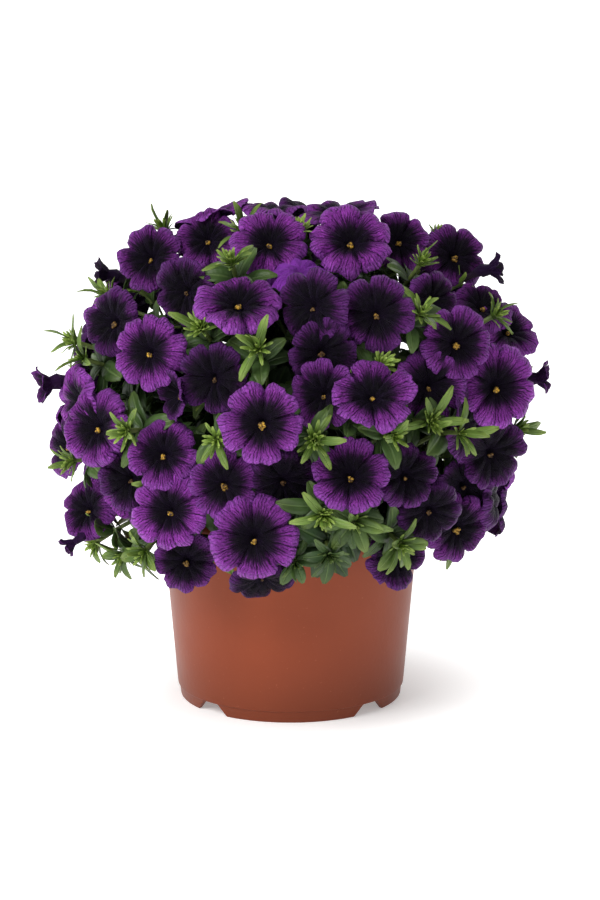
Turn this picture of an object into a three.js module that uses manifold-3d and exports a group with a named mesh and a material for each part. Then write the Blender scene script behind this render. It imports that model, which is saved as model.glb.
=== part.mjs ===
// A calibrachoa in a 12 cm grower's pot: a round mound of five-lobed trumpet blooms, carried on
// leafy stems that stand in the compost of a thin plastic pot with four feet.
// Millimetres, +Z up. The origin is on the table under the middle of the pot; -Y is the front.
import * as THREE from "three";
import { mergeVertices } from "three/addons/utils/BufferGeometryUtils.js";
import Module from "manifold-3d";

const wasm = await Module();
wasm.setup();

// ---------------------------------------------------------------- driving dimensions

const GAP = 0.3; // left between pieces that would otherwise touch
const CLEARANCE = 0.25; // the least that two nodes may be apart
const DEGREE = Math.PI / 180;
const GOLDEN_TURN = Math.PI * (3 - Math.sqrt(5));
const UP = new THREE.Vector3(0, 0, 1);
const SEED = 11;
const DRAWS = { corollas: 1000, leaflets: 2000, shoots: 3000, stemLeaves: 5000 }; // added to SEED's draws

const POT = {
  height: 92,
  rimRadius: 61.7,
  lipHeight: 3.2,
  lipReach: 1.1, // how far the lip stands out from the wall
  wall: 1.4,
  baseRadius: 53.1, // of the wall, just above the feet
  footHeight: 5.4,
  footInset: 0.7,
  footThickness: 2.2,
  footTaper: 0.6,
  floorLevel: 6.4, // the underside of the floor
  floorThickness: 1.6,
  sides: 30,
  notches: 4,
  notchTopWidth: 9,
  notchFootWidth: 21,
  drainRadius: 4,
  drainReach: 40,
  drainSides: 10,
  cutDepth: 8, // of the tools that cut the notches and the drain holes
};

const COMPOST = {
  top: 83,
  relief: 1.3,
  rings: [0, 20, 38],
  sides: 18,
  slow: [0.19, 0.23], // radians of its unevenness for each mm across and along
  quick: [0.5, 0.41],
  quickShare: 0.4,
};

// The blooms' faces lie about this mound, a spheroid that is flatter above its widest level.
const MOUND = { radius: 105, level: 140, above: 88, below: 110 };

// The front half is laid out as it is seen from here, on an upright picture through the aim.
const FRONT_VIEW = { distance: 1600, tilt: 13, aim: new THREE.Vector3(4.4, 0, 116.4) };

// Three rings of stems: low ones that hang over the rim, leaning ones, and upright ones.
const STEM_RINGS = [
  { count: 5, start: -72, footReach: 25, rise: 44, reach: 74, level: 97, pitch: -22, run: 24 },
  { count: 4, start: -100, footReach: 15, rise: 42, reach: 66, level: 152, pitch: 32, run: 30 },
  { count: 3, start: -30, footReach: 6, rise: 56, reach: 32, level: 188, pitch: 64, run: 30 },
];
const STEM = { footDepth: 9, footRadius: 2.1, tipRadius: 1.3, sides: 4, steps: 5, holeSides: 6 };
const BRANCHING = { first: 0.4, last: 0.985, places: 21, tries: 14 };

const BLOOM = {
  lobes: 5,
  shoulder: 19, // degrees from the middle of a lobe to each of its two corners
  sinus: 0.84, // reach between two lobes, as a share of the bloom's
  sinusDrop: 0.06,
  unevenness: 0.06,
  wave: 0.07,
  twist: 0.5, // of the wave, from one corner of a lobe to the other
  cupNarrowing: 0.2,
  throatRadius: 4.4,
  throatShare: 0.4, // the most of a small bloom's reach
  throatDepth: 2.4,
  pitDepth: 8,
  neckRadius: 4.2,
  neckDepth: 6,
  tubeLength: 11, // from the neck to the base
};
const PEDICEL = { radius: 1, calyxRadius: 2.5, calyxShare: 0.75, bow: 0.45, least: 8 };
const SHOOT = {
  least: 12, // length of its stalk
  bow: 0.4,
  radius: 1.1,
  tipRadius: 1,
  whorl: 0.74, // share of the stalk where its leaves start
  whorlHeight: 2.4,
  whorlTurn: 0.25, // of a third of a turn, from the whorl's foot to its top
  headRadius: 1.5,
  headHeight: 1.8,
  headTurn: 0.5,
  leaf: [14, 20],
  leafLift: [0.1, 0.8],
  leafletLift: [0.2, 1],
  leafletSpread: [0.8, 1.15],
  blades: 8, // 3 leaves, then 5 leaflets
  fewest: 3,
  shifts: [0, 3, -3, 6, -6, 9, -9, 12],
};

// Blooms that would cross are joined when they share this much, in bodies of a few.
const JOINING = { least: 0.8, greatest: 120, most: 9, bodies: 46 };
// Tried in turn until a bloom fits: its growth, its shift along the way it is seen, and, for the
// rest of the blooms, a step aside.
const TRIES = { growths: [1, 1.1, 0.92], shifts: [0, -2, 2, -4, 4, -6, -8, -11, -14], asides: 5 };

// Front blooms: across and up on the front view's picture, lift off the mound towards the viewer,
// the way the bloom faces (yaw to the right and pitch above level), its diameter, and its cup.
// A cup above 0 draws the rim forward into a funnel, and one below 0 curls it back.
const FRONT_BLOOMS = [
  [-57, -28, 8, -14, 13, 37, 0],
  [-17, -41, 10, 0, 10, 40, 0],
  [-13, 13, 8, 0, 15, 37, 0],
  [97, 30, 8, 20, 15, 40, 0],
  [28, 99, 4, 0, 46, 40, 0],
  [-24, 70, 6, 5, 56, 39, 0],
  [38, 27, 6, 0, 48, 38, 0],
  [28, -11, 5, 0, 35, 36, 0],
  [-67, 46, 4, -22, 15, 35, 0],
  [-92, 11, 6, -35, 15, 38, 0],
  [78, 50, 2, 18, 15, 35, 0],
  [-66, 90, 0, -20, 24, 32, 0],
  [-10, 98, -2, 0, 46, 36, 0],
  [77, 91, 0, 22, 24, 32, 0],
  [102, 57, 2, 38, 45, 33, 0],
  [95, -2, 4, 28, -6, 35, 0],
  [-96, -27, 0, -40, 20, 32, 0],
  [9, 67, 2, -25, 10, 33, 0],
  [40, 64, 0, 0, 15, 34, 0],
  [65, 30, 0, 12, 10, 34, 0],
  [-60, -1, 0, -15, 25, 33, 0],
  [79, -37, -2, 30, -5, 34, 0],
  [-39, 99, 0, -15, 35, 31, 0],
  [-31, -16, 0, -3, 10, 31, 0],
  [-112, 31, 0, -72, -10, 18, 0.7],
  [114, 31, 0, 78, 8, 16, 0.8],
  [-101, -45, 0, -70, -30, 10, 1.3],
  [-86, 84, 0, -80, 10, 15, 0.8],
  [93, 84, 0, 80, 10, 15, 0.8],
  [-84, 60, -2, -42, 15, 33, 0],
  [-13, -63, 4, 5, -50, 30, 0],
  [-49, -52, 2, -10, 0, 30, 0],
];

const FRONT_ASIDE = 2.5;

// Blooms that look out from behind those and the shoots.
const BEHIND_BLOOMS = [
  [33, -47, -3, 5, -5, 35, 0],
  [51, 98, -3, 15, 25, 30, 0],
  [5, 86, -3, 5, 70, 29, -0.35],
  [-50, 74, -8, -30, 5, 31, 0],
  [-36, 33, -8, -10, 0, 32, 0],
  [15, 45, -10, 10, 0, 31, 0],
  [66, 72, -8, 30, 5, 30, 0],
  [90, 68, -6, 30, 50, 30, 0],
  [12, 26, -6, -15, 10, 32, 0],
  [-106, 2, -4, -60, 10, 31, 0],
  [-3, -15, -8, 10, -5, 31, 0],
  [52, -12, -4, 25, 10, 31, 0],
  [84, -16, -6, 25, -10, 32, 0],
  [50, -50, -4, 30, 0, 30, 0],
  [8, -50, -4, -5, -5, 30, 0],
  [65, -29, 4, 10, -10, 30, 0],
  [-75, -14, -8, -10, 0, 30, 0],
  [8, -32, -6, 0, -5, 30, 0],
  [-54, 23, -12, -60, 0, 24, 0.4],
];

// The rest of the mound, evenly spread over it from its lower edge to its top.
const REST_BLOOMS = {
  count: 104,
  lowest: -0.58, // sine of the lowest latitude
  bare: [0, 47, 65, 81, 88, 89, 101], // spots that no bloom hangs at
  nearest: 21,
  turnedAway: 50, // degrees between two blooms' faces past which they may stand at half that
  lift: [0, 9.2],
  topShare: 0.9, // how much of the lift is lost towards the mound's top
  tilt: 16, // most, in degrees
  lowestPitch: -8,
  aside: 5,
  diameter: [34, 40],
};

// Front shoot tips: across, up, lift, and the length of the tip's leaflets.
const FRONT_SHOOTS = [
  [-95, 42, 2, 15],
  [-99, 50, 0, 13],
  [-41, 56, 0, 15],
  [-15, 47, 0, 16],
  [-22, 54, 2, 13],
  [-27, 86, 2, 13],
  [4, 101, 0, 14],
  [-58, 101, 0, 12],
  [67, 99, 0, 12],
  [60, 63, 2, 15],
  [60, 86, 0, 12],
  [47, 7, 4, 15],
  [11, 5, 2, 14],
  [78, 8, 4, 15],
  [103, 10, 2, 15],
  [15, -30, 6, 15],
  [29, -33, 6, 16],
  [18, -48, 4, 15],
  [50, -43, 4, 14],
  [-89, -42, 2, 15],
  [-77, -48, 2, 14],
  [-67, -46, 2, 13],
  [-34, 5, -2, 13],
  [-100, -5, 0, 13],
  [2, -51, 2, 13],
  [-75, 9, 0, 12],
];
const REST_SHOOTS = { count: 66, lowest: -0.6, nearest: 13, lift: -4, leaflet: [12, 16] };
const STEM_LEAVES = { count: 9, first: 0.4, last: 0.98, length: [16, 24], lean: [45, 80] };
const LEAF = { width: 0.4, thickness: 1, arch: 0.2, widest: 0.46 };
const LEAFLET = { width: 0.26, thickness: 0.9, arch: 0.05, widest: 0.45 };

const LOOKS = {
  pot: { color: 0x9a5440, roughness: 0.5, metalness: 0 },
  compost: { color: 0x2b1f18, roughness: 0.95, metalness: 0 },
  foliage: { color: 0x4f6a34, roughness: 0.6, metalness: 0 },
  blooms: { color: 0x5a2368, roughness: 0.7, metalness: 0 },
};

// ---------------------------------------------------------------- draws and directions

function seeded(number) {
  let state = (number * 48271 + SEED) % 2147483647;
  return (low, high) => {
    state = (state * 16807) % 2147483647;
    return low + ((high - low) * state) / 2147483647;
  };
}

function facing(yaw, pitch) {
  const level = Math.cos(pitch * DEGREE);
  const turned = yaw * DEGREE;
  return new THREE.Vector3(level * Math.sin(turned), -level * Math.cos(turned), Math.sin(pitch * DEGREE));
}

// Two directions square to the given one, which make a right-handed set with it.
function squareTo(direction) {
  const hint = Math.abs(direction.z) > 0.95 ? new THREE.Vector3(1, 0, 0) : UP;
  const side = new THREE.Vector3().crossVectors(hint, direction).normalize();
  return { side, top: new THREE.Vector3().crossVectors(direction, side) };
}

function around({ side, top }, angle) {
  return side.clone().multiplyScalar(Math.cos(angle)).addScaledVector(top, Math.sin(angle));
}

function between(from, to, share) {
  return from.clone().lerp(to, share);
}

// ---------------------------------------------------------------- closed skins over rings

// Joins two rings of points, which have as many points as each other, or one point, or a multiple.
function stitch(lower, upper, triangles) {
  const few = Math.min(lower.length, upper.length);
  const many = Math.max(lower.length, upper.length);
  const share = many / few;
  for (let place = 0; place < few; place++) {
    const next = (place + 1) % few;
    for (let step = 0; step < share; step++) {
      const here = place * share + step;
      const after = (here + 1) % many;
      if (lower.length > upper.length) triangles.push(lower[here], lower[after], upper[place]);
      else triangles.push(lower[place], upper[after], upper[here]);
    }
    const corner = (next * share) % many;
    if (few > 1 && lower.length > upper.length) {
      triangles.push(lower[corner], upper[next], upper[place]);
    } else if (few > 1) {
      triangles.push(lower[place], lower[next], upper[corner]);
    }
  }
}

function cap(ring, triangles, facesBack) {
  for (let place = 1; place < ring.length - 1; place++) {
    const [second, third] = facesBack ? [place + 1, place] : [place, place + 1];
    triangles.push(ring[0], ring[second], ring[third]);
  }
}

// A closed surface over rings of points that turn anticlockwise as seen from the last one.
function skin(rings) {
  const places = [];
  const numbered = rings.map((ring) => ring.map((point) => places.push(point.x, point.y, point.z) / 3 - 1));
  const triangles = [];
  cap(numbered[0], triangles, true);
  for (let step = 1; step < numbered.length; step++) stitch(numbered[step - 1], numbered[step], triangles);
  cap(numbered.at(-1), triangles, false);
  const geometry = new THREE.BufferGeometry();
  geometry.setAttribute("position", new THREE.Float32BufferAttribute(places, 3));
  geometry.setIndex(triangles);
  return geometry;
}

function toSolid(geometry) {
  const bare = geometry.clone();
  bare.deleteAttribute("normal");
  bare.deleteAttribute("uv");
  const merged = mergeVertices(bare, 1e-4);
  const vertProperties = new Float32Array(merged.getAttribute("position").array);
  return new wasm.Manifold(
    new wasm.Mesh({ numProp: 3, vertProperties, triVerts: new Uint32Array(merged.index.array) }),
  );
}

function toMesh(name, solid, material) {
  const { vertProperties, triVerts } = solid.getMesh();
  const geometry = new THREE.BufferGeometry();
  geometry.setAttribute("position", new THREE.BufferAttribute(vertProperties, 3));
  geometry.setIndex(new THREE.BufferAttribute(triVerts, 1));
  geometry.computeVertexNormals();
  const mesh = new THREE.Mesh(geometry, material);
  mesh.name = name;
  return mesh;
}

// A tube along a flat curve, with its own radius at each of its places.
function tube(curve, hint, places, radii, sides) {
  const rings = places.map((place, step) => {
    const centre = curve.getPoint(place);
    const top = new THREE.Vector3().crossVectors(curve.getTangent(place), hint);
    const frame = { side: hint, top };
    return Array.from({ length: sides }, (_, corner) =>
      centre.clone().addScaledVector(around(frame, (corner * 2 * Math.PI) / sides), radii[step]),
    );
  });
  return skin(rings);
}

// ---------------------------------------------------------------- what stands where

const standing = []; // every solid placed so far, with its node's name and its box

function place(owner, solid) {
  standing.push({ owner, solid, box: solid.boundingBox() });
}

// What stands too near to this solid, other than the stem that it grows from.
function neighbours(solid, trunk) {
  const { min, max } = solid.boundingBox();
  const near = standing.filter(({ solid: other, box }) => {
    if (other === trunk) return false;
    return [0, 1, 2].every((axis) => box.min[axis] - GAP < max[axis] && box.max[axis] + GAP > min[axis]);
  });
  return near.filter(({ solid: other }) => solid.minGap(other, GAP) < CLEARANCE);
}

// ---------------------------------------------------------------- pot and compost

function latheOf(outline, sides) {
  const points = outline.map(([reach, level]) => new THREE.Vector2(reach, level));
  return new THREE.LatheGeometry(points, sides).rotateX(Math.PI / 2);
}

const potInside = (level) => {
  const share = (level - POT.footHeight) / (POT.height - POT.footHeight);
  const wallTop = POT.rimRadius - POT.lipReach;
  return POT.baseRadius + (wallTop - POT.baseRadius) * share - POT.wall;
};

function makePot() {
  const { height, rimRadius, lipHeight, lipReach, wall, baseRadius, footHeight, footInset } = POT;
  const floorTop = POT.floorLevel + POT.floorThickness;
  const footReach = baseRadius - footInset;
  const outline = [
    [0, POT.floorLevel],
    [footReach - POT.footTaper - POT.footThickness, POT.floorLevel],
    [footReach - POT.footTaper - POT.footThickness, 0],
    [footReach - POT.footTaper, 0],
    [footReach, footHeight],
    [baseRadius, footHeight],
    [potInside(height - lipHeight) + wall, height - lipHeight],
    [rimRadius, height - lipHeight],
    [rimRadius, height],
    [potInside(height), height],
    [potInside(floorTop), floorTop],
    [0, floorTop],
  ];
  let pot = toSolid(latheOf(outline, POT.sides));

  const halfTop = POT.notchTopWidth / 2;
  const halfFoot = POT.notchFootWidth / 2;
  const notch = new THREE.Shape([
    new THREE.Vector2(-halfFoot, -1),
    new THREE.Vector2(halfFoot, -1),
    new THREE.Vector2(halfTop, footHeight),
    new THREE.Vector2(-halfTop, footHeight),
  ]);
  const drain = new THREE.CylinderGeometry(POT.drainRadius, POT.drainRadius, POT.cutDepth, POT.drainSides);
  drain.rotateX(Math.PI / 2).translate(0, -POT.drainReach, floorTop);
  const opening = new THREE.ExtrudeGeometry(notch, { depth: POT.cutDepth, bevelEnabled: false });
  opening.rotateX(Math.PI / 2).translate(0, POT.cutDepth / 2 + 1 - footReach, 0);
  for (let side = 0; side < POT.notches; side++) {
    const turn = ((side + 0.5) / POT.notches) * 2 * Math.PI;
    pot = pot.subtract(toSolid(opening.clone().rotateZ(turn)));
    pot = pot.subtract(toSolid(drain.clone().rotateZ(turn)));
  }
  return pot;
}

// The compost fills the pot to near the rim, and its top is uneven.
function makeCompost() {
  const { top, relief, sides, rings, slow, quick, quickShare } = COMPOST;
  const bottom = POT.floorLevel + POT.floorThickness + GAP;
  const outline = [
    [0, bottom],
    [potInside(bottom) - 2 * GAP, bottom],
    [potInside(top) - 2 * GAP, top - relief],
    ...rings.toReversed().map((reach) => [reach, top]),
  ];
  const heap = latheOf(outline, sides);
  const spots = heap.getAttribute("position");
  for (let spot = 0; spot < spots.count; spot++) {
    if (spots.getZ(spot) < top - 1e-3) continue;
    const [x, y] = [spots.getX(spot), spots.getY(spot)];
    const swell = Math.sin(x * slow[0] + 1) * Math.cos(y * slow[1]);
    const height = swell + quickShare * Math.sin(x * quick[0] + y * quick[1]);
    spots.setZ(spot, top + relief * height);
  }
  return toSolid(heap);
}

// ---------------------------------------------------------------- stems

function stemCurve(ring, turn) {
  const out = new THREE.Vector3(Math.cos(turn), Math.sin(turn), 0);
  const foot = out.clone().multiplyScalar(ring.footReach).setZ(COMPOST.top - STEM.footDepth);
  const end = out.clone().multiplyScalar(ring.reach).setZ(ring.level);
  const pitch = ring.pitch * DEGREE;
  const ending = out.clone().multiplyScalar(Math.cos(pitch)).setZ(Math.sin(pitch));
  const rising = foot.clone().addScaledVector(UP, ring.rise);
  return new THREE.CubicBezierCurve3(foot, rising, end.clone().addScaledVector(ending, -ring.run), end);
}

function makeStems() {
  const stems = [];
  for (const ring of STEM_RINGS) {
    for (let number = 0; number < ring.count; number++) {
      const turn = ring.start * DEGREE + (number / ring.count) * 2 * Math.PI;
      const curve = stemCurve(ring, turn);
      const hint = new THREE.Vector3(-Math.sin(turn), Math.cos(turn), 0);
      const places = Array.from({ length: STEM.steps + 1 }, (_, step) => step / STEM.steps);
      const radii = places.map((share) => STEM.footRadius + (STEM.tipRadius - STEM.footRadius) * share);
      const name = `stem_${String(stems.length + 1).padStart(2, "0")}`;
      const trunk = toSolid(tube(curve, hint, places, radii, STEM.sides));
      const joints = places.map((share) => curve.getPoint(share));
      stems.push({ name, curve, hint, joints, trunk, parts: [trunk], branched: new Set() });
      place(name, trunk);
    }
  }
  return stems;
}

// A place on a stem's straight segments, and the way that its segment runs.
function onStem({ joints }, share) {
  const step = Math.min(Math.floor(share * STEM.steps), STEM.steps - 1);
  const [start, end] = [joints[step], joints[step + 1]];
  const way = end.clone().sub(start).normalize();
  return { from: between(start, end, share * STEM.steps - step), way };
}

// A plain round hole for each stem's foot, a little wider than the stem.
function boreCompost(compost, stems) {
  const radius = STEM.footRadius + 2 * GAP;
  for (const { joints, hint } of stems) {
    const way = joints[1].clone().sub(joints[0]).normalize();
    const start = joints[0].clone().addScaledVector(way, -GAP);
    const hole = new THREE.LineCurve3(start, joints[1]);
    compost = compost.subtract(toSolid(tube(hole, hint, [0, 1], [radius, radius], STEM.holeSides)));
  }
  return compost;
}

// The free places on the stems where a branch to this spot could start, nearest first.
function branchStarts(stems, spot, least) {
  const starts = [];
  const { first, last, places, tries } = BRANCHING;
  for (const stem of stems) {
    for (let place = 0; place < places; place++) {
      if (stem.branched.has(place)) continue;
      const { from } = onStem(stem, first + ((last - first) * place) / (places - 1));
      const distance = from.distanceTo(spot);
      if (distance > least) starts.push({ stem, place, from, distance });
    }
  }
  return starts.sort((one, other) => one.distance - other.distance).slice(0, tries);
}

// A bowed branch that arrives along the given direction.
function branchCurve(from, to, arriving, bow) {
  const bend = to.clone().addScaledVector(arriving, -bow * from.distanceTo(to));
  const curve = new THREE.QuadraticBezierCurve3(from, bend, to);
  const plane = new THREE.Vector3().crossVectors(arriving, to.clone().sub(from));
  const hint = plane.length() > 1e-3 ? plane.normalize() : squareTo(arriving).side;
  return { curve, hint };
}

// ---------------------------------------------------------------- blooms

// The spot on the mound that a ray meets first, or where it passes nearest.
function moundSpot(start, ray) {
  const half = start.z + (ray.z / ray.y) * -start.y > MOUND.level ? MOUND.above : MOUND.below;
  const scale = new THREE.Vector3(1 / MOUND.radius, 1 / MOUND.radius, 1 / half);
  const from = start.clone().sub(new THREE.Vector3(0, 0, MOUND.level)).multiply(scale);
  const way = ray.clone().multiply(scale);
  const nearest = -from.dot(way) / way.lengthSq();
  const missed = from.clone().addScaledVector(way, nearest).lengthSq();
  const back = Math.sqrt(Math.max(0, 1 - missed) / way.lengthSq());
  return start.clone().addScaledVector(ray, nearest - back);
}

function frontSpot(across, up, lift) {
  const tilt = FRONT_VIEW.tilt * DEGREE;
  const ahead = new THREE.Vector3(0, Math.cos(tilt), -Math.sin(tilt));
  const eye = FRONT_VIEW.aim.clone().addScaledVector(ahead, -FRONT_VIEW.distance);
  const seen = new THREE.Vector3(across, up * Math.sin(tilt), FRONT_VIEW.aim.z + up * Math.cos(tilt));
  const ray = seen.sub(eye).normalize();
  const towards = ray.clone().negate();
  return { spot: moundSpot(eye, ray).addScaledVector(towards, lift), towards };
}

// Spots spread evenly over the mound, each with the mound's outward direction there.
function moundSpots(count, lowest, offset) {
  return Array.from({ length: count }, (_, number) => {
    const height = lowest + ((1 - lowest) * (number + 0.5)) / count;
    const level = Math.sqrt(1 - height * height);
    const turn = number * GOLDEN_TURN + offset;
    const way = new THREE.Vector3(level * Math.cos(turn), level * Math.sin(turn), height);
    const half = height > 0 ? MOUND.above : MOUND.below;
    const spot = new THREE.Vector3(way.x * MOUND.radius, way.y * MOUND.radius, MOUND.level + height * half);
    const outward = new THREE.Vector3(way.x / MOUND.radius, way.y / MOUND.radius, height / half).normalize();
    return { spot, outward };
  });
}

function asidesAbout(way, reach) {
  const steps = Array.from({ length: TRIES.asides }, (_, step) => (step * 2 * Math.PI) / TRIES.asides);
  const moved = steps.map((turn) => around(squareTo(way), turn).multiplyScalar(reach));
  return [new THREE.Vector3(), ...moved];
}

function listedBloomPlans(list, firstNumber) {
  return list.map(([across, up, lift, yaw, pitch, diameter, cup], place) => {
    const { spot, towards } = frontSpot(across, up, lift);
    const number = firstNumber + place;
    const asides = asidesAbout(towards, FRONT_ASIDE);
    return { number, spot, towards, asides, faces: facing(yaw, pitch), diameter, cup };
  });
}

function leastApart(faces, other) {
  const isTurnedAway = faces.dot(other.faces) < Math.cos(REST_BLOOMS.turnedAway * DEGREE);
  return REST_BLOOMS.nearest * (isTurnedAway ? 0.5 : 1);
}

function restBloomPlans(taken) {
  const plans = [];
  const { count, lowest, lift, topShare, tilt, diameter, lowestPitch, aside } = REST_BLOOMS;
  moundSpots(count, lowest, 0).forEach(({ spot, outward }, place) => {
    const number = taken.length + place;
    if (REST_BLOOMS.bare.includes(place)) return;
    const random = seeded(number);
    const faces = outward.clone();
    faces.z = Math.max(faces.z, Math.sin(lowestPitch * DEGREE));
    const leaning = around(squareTo(outward), random(0, 2 * Math.PI));
    faces.addScaledVector(leaning, Math.tan(random(0, tilt) * DEGREE));
    faces.normalize();
    spot.addScaledVector(outward, random(...lift) * (1 - topShare * outward.z));
    const isCrowded = (other) => other.spot.distanceTo(spot) < leastApart(faces, other);
    if ([...taken, ...plans].some(isCrowded)) return;
    const asides = asidesAbout(outward, aside);
    plans.push({ number, spot, towards: outward, asides, faces, diameter: random(...diameter), cup: 0 });
  });
  return plans;
}

// Five rounded lobes about a dark throat that narrows into the tube. The rim is one sharp edge.
function corolla({ number, faces, diameter, cup }, centre, tubeWay) {
  const random = seeded(DRAWS.corollas + number);
  const reach = diameter / 2;
  const frame = squareTo(faces);
  const roll = random(0, 2 * Math.PI);
  const throat = Math.min(BLOOM.throatRadius, reach * BLOOM.throatShare);
  const narrow = throat / BLOOM.throatRadius;
  const at = (angle, radius, height, from = centre) =>
    from.clone().addScaledVector(around(frame, angle), radius).addScaledVector(faces, height);
  const rim = [];
  const turns = Array.from({ length: BLOOM.lobes }, (_, lobe) => roll + (lobe * 2 * Math.PI) / BLOOM.lobes);
  for (const turn of turns) {
    const long = reach * (1 + random(-BLOOM.unevenness, BLOOM.unevenness));
    const raised = reach * (cup + random(-BLOOM.wave, BLOOM.wave));
    const twist = reach * random(-BLOOM.wave, BLOOM.wave) * BLOOM.twist;
    const low = reach * (cup * BLOOM.sinus - BLOOM.sinusDrop);
    rim.push(at(turn - Math.PI / BLOOM.lobes, reach * BLOOM.sinus * (1 - BLOOM.cupNarrowing * cup), low));
    rim.push(at(turn - BLOOM.shoulder * DEGREE, long, raised - twist));
    rim.push(at(turn + BLOOM.shoulder * DEGREE, long, raised + twist));
  }
  const neck = centre.clone().addScaledVector(faces, -BLOOM.neckDepth);
  const base = neck.clone().addScaledVector(tubeWay, BLOOM.tubeLength);
  return skin([
    [base],
    turns.map((turn) => at(turn, BLOOM.neckRadius * narrow, 0, neck)),
    rim,
    turns.map((turn) => at(turn, throat, -BLOOM.throatDepth)),
    [centre.clone().addScaledVector(faces, -BLOOM.pitDepth)],
  ]);
}

// The tube leads from the neck partly towards the branch's start, and the pedicel goes on from it.
function bloomOn(plan, centre, from) {
  const inward = plan.faces.clone().negate();
  const homeward = from.clone().sub(centre).normalize();
  const tubeWay = inward.add(homeward).normalize();
  const flower = toSolid(corolla(plan, centre, tubeWay));
  const end = centre.clone().addScaledVector(plan.faces, -BLOOM.neckDepth);
  end.addScaledVector(tubeWay, BLOOM.tubeLength + GAP);
  const { curve, hint } = branchCurve(from, end, tubeWay.clone().negate(), PEDICEL.bow);
  const { radius, calyxRadius, calyxShare } = PEDICEL;
  const pedicel = toSolid(tube(curve, hint, [0, calyxShare, 1], [radius, radius, calyxRadius], 3));
  return { flower, pedicel };
}

const bodies = []; // of blooms that are joined

function joinable(flower) {
  const joined = new Set();
  for (const { owner, solid } of neighbours(flower)) {
    if (typeof owner === "string") return null;
    const shared = flower.intersect(solid).volume();
    if (shared < JOINING.least || shared > JOINING.greatest) return null;
    joined.add(owner);
  }
  const size = [...joined].reduce((sum, body) => sum + body.flowers.length, 1);
  return size > JOINING.most ? null : joined;
}

function bloomTries({ spot, towards, asides }) {
  return TRIES.growths.flatMap((growth) =>
    asides.flatMap((aside) =>
      TRIES.shifts.map((shift) => {
        return { growth, centre: spot.clone().add(aside).addScaledVector(towards, shift) };
      }),
    ),
  );
}

// Every way that a bloom can stand, free of the rest or joined to a body of others.
function* waysToStand(plan, stems, joins) {
  for (const { growth, centre } of bloomTries(plan)) {
    const inner = centre.clone().addScaledVector(plan.faces, -BLOOM.neckDepth - BLOOM.tubeLength);
    const grown = { ...plan, diameter: plan.diameter * growth };
    for (const { stem, place: start, from } of branchStarts(stems, inner, PEDICEL.least)) {
      const { flower, pedicel } = bloomOn(grown, centre, from);
      const joined = joinable(flower);
      if (!joined || joined.size > 0 !== joins) break; // nor would it with another start
      if (pedicel.minGap(flower, GAP) < CLEARANCE) continue;
      if (neighbours(pedicel, stem.trunk).length > 0) continue;
      yield { flower, pedicel, joined, stem, start };
    }
  }
}

function addBloom(plan, { flower, pedicel, joined, stem, start }) {
  const body = { flowers: [flower] };
  for (const other of joined) {
    body.flowers.push(...other.flowers);
    bodies.splice(bodies.indexOf(other), 1);
    for (const item of standing) if (item.owner === other) item.owner = body;
  }
  bodies.push(body);
  place(body, flower);
  stem.parts.push(pedicel);
  stem.branched.add(start);
  place(stem.name, pedicel);
  Object.assign(plan, { flower, pedicel, stem, start });
}

function removeBloom({ flower, pedicel, stem, start }) {
  const alone = bodies.findIndex((body) => body.flowers.includes(flower));
  bodies.splice(alone, 1);
  for (const solid of [flower, pedicel]) {
    standing.splice(standing.findIndex((item) => item.solid === solid), 1);
  }
  stem.parts.splice(stem.parts.indexOf(pedicel), 1);
  stem.branched.delete(start);
}

function isAlone(plan) {
  return bodies.some((body) => body.flowers.length === 1 && body.flowers[0] === plan.flower);
}

function firstWay(plan, stems, joins) {
  return waysToStand(plan, stems, joins).next().value;
}

// A bloom stands free where it can, and else joins others.
function placeBloom(plan, stems) {
  const way = firstWay(plan, stems, false) ?? firstWay(plan, stems, true);
  if (way) addBloom(plan, way);
  return way;
}

// Moves lone blooms to join others, the last first, until the bodies are few enough.
function joinLoneBlooms(placed, stems) {
  for (const plan of placed.toReversed()) {
    if (bodies.length <= JOINING.bodies) break;
    if (!isAlone(plan)) continue;
    const before = { ...plan, joined: new Set() };
    removeBloom(plan);
    addBloom(plan, firstWay(plan, stems, true) ?? before);
  }
  const spare = placed.toReversed().filter(isAlone).slice(0, Math.max(0, bodies.length - JOINING.bodies));
  spare.forEach(removeBloom);
  return placed.filter((plan) => !spare.includes(plan));
}

// ---------------------------------------------------------------- leaves and shoots

// The widest section of a pointed blade, keeled beneath and arched along its length, and its tip.
function bladeSections(root, way, upper, length, { width, thickness, arch, widest }) {
  const side = new THREE.Vector3().crossVectors(way, upper).normalize();
  const face = new THREE.Vector3().crossVectors(side, way).normalize();
  const along = (share) =>
    root.clone().addScaledVector(way, length * share).addScaledVector(face, -arch * length * share * share);
  const half = (length * width) / 2;
  const section = [
    along(widest).addScaledVector(side, -half),
    along(widest).addScaledVector(side, half),
    along(widest).addScaledVector(face, -thickness),
  ];
  return [section, [along(1)]];
}

function leaningFrom(axis, turn, lean) {
  const aside = around(squareTo(axis), turn);
  return axis.clone().multiplyScalar(Math.cos(lean)).addScaledVector(aside, Math.sin(lean));
}

// Leaves along a stem, each with its root sunk into it.
function leavesOnStem(stem, random) {
  const { count, first, last, length, lean } = STEM_LEAVES;
  let turn = random(0, 2 * Math.PI);
  for (let number = 0; number < count; number++) {
    const { from, way: axis } = onStem(stem, first + ((last - first) * number) / (count - 1));
    turn += GOLDEN_TURN;
    const way = leaningFrom(axis, turn, random(...lean) * DEGREE);
    const solid = toSolid(skin([[from], ...bladeSections(from, way, axis, random(...length), LEAF)]));
    if (neighbours(solid, stem.trunk).length > 0) continue;
    stem.parts.push(solid);
    place(stem.name, solid);
  }
}

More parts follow.
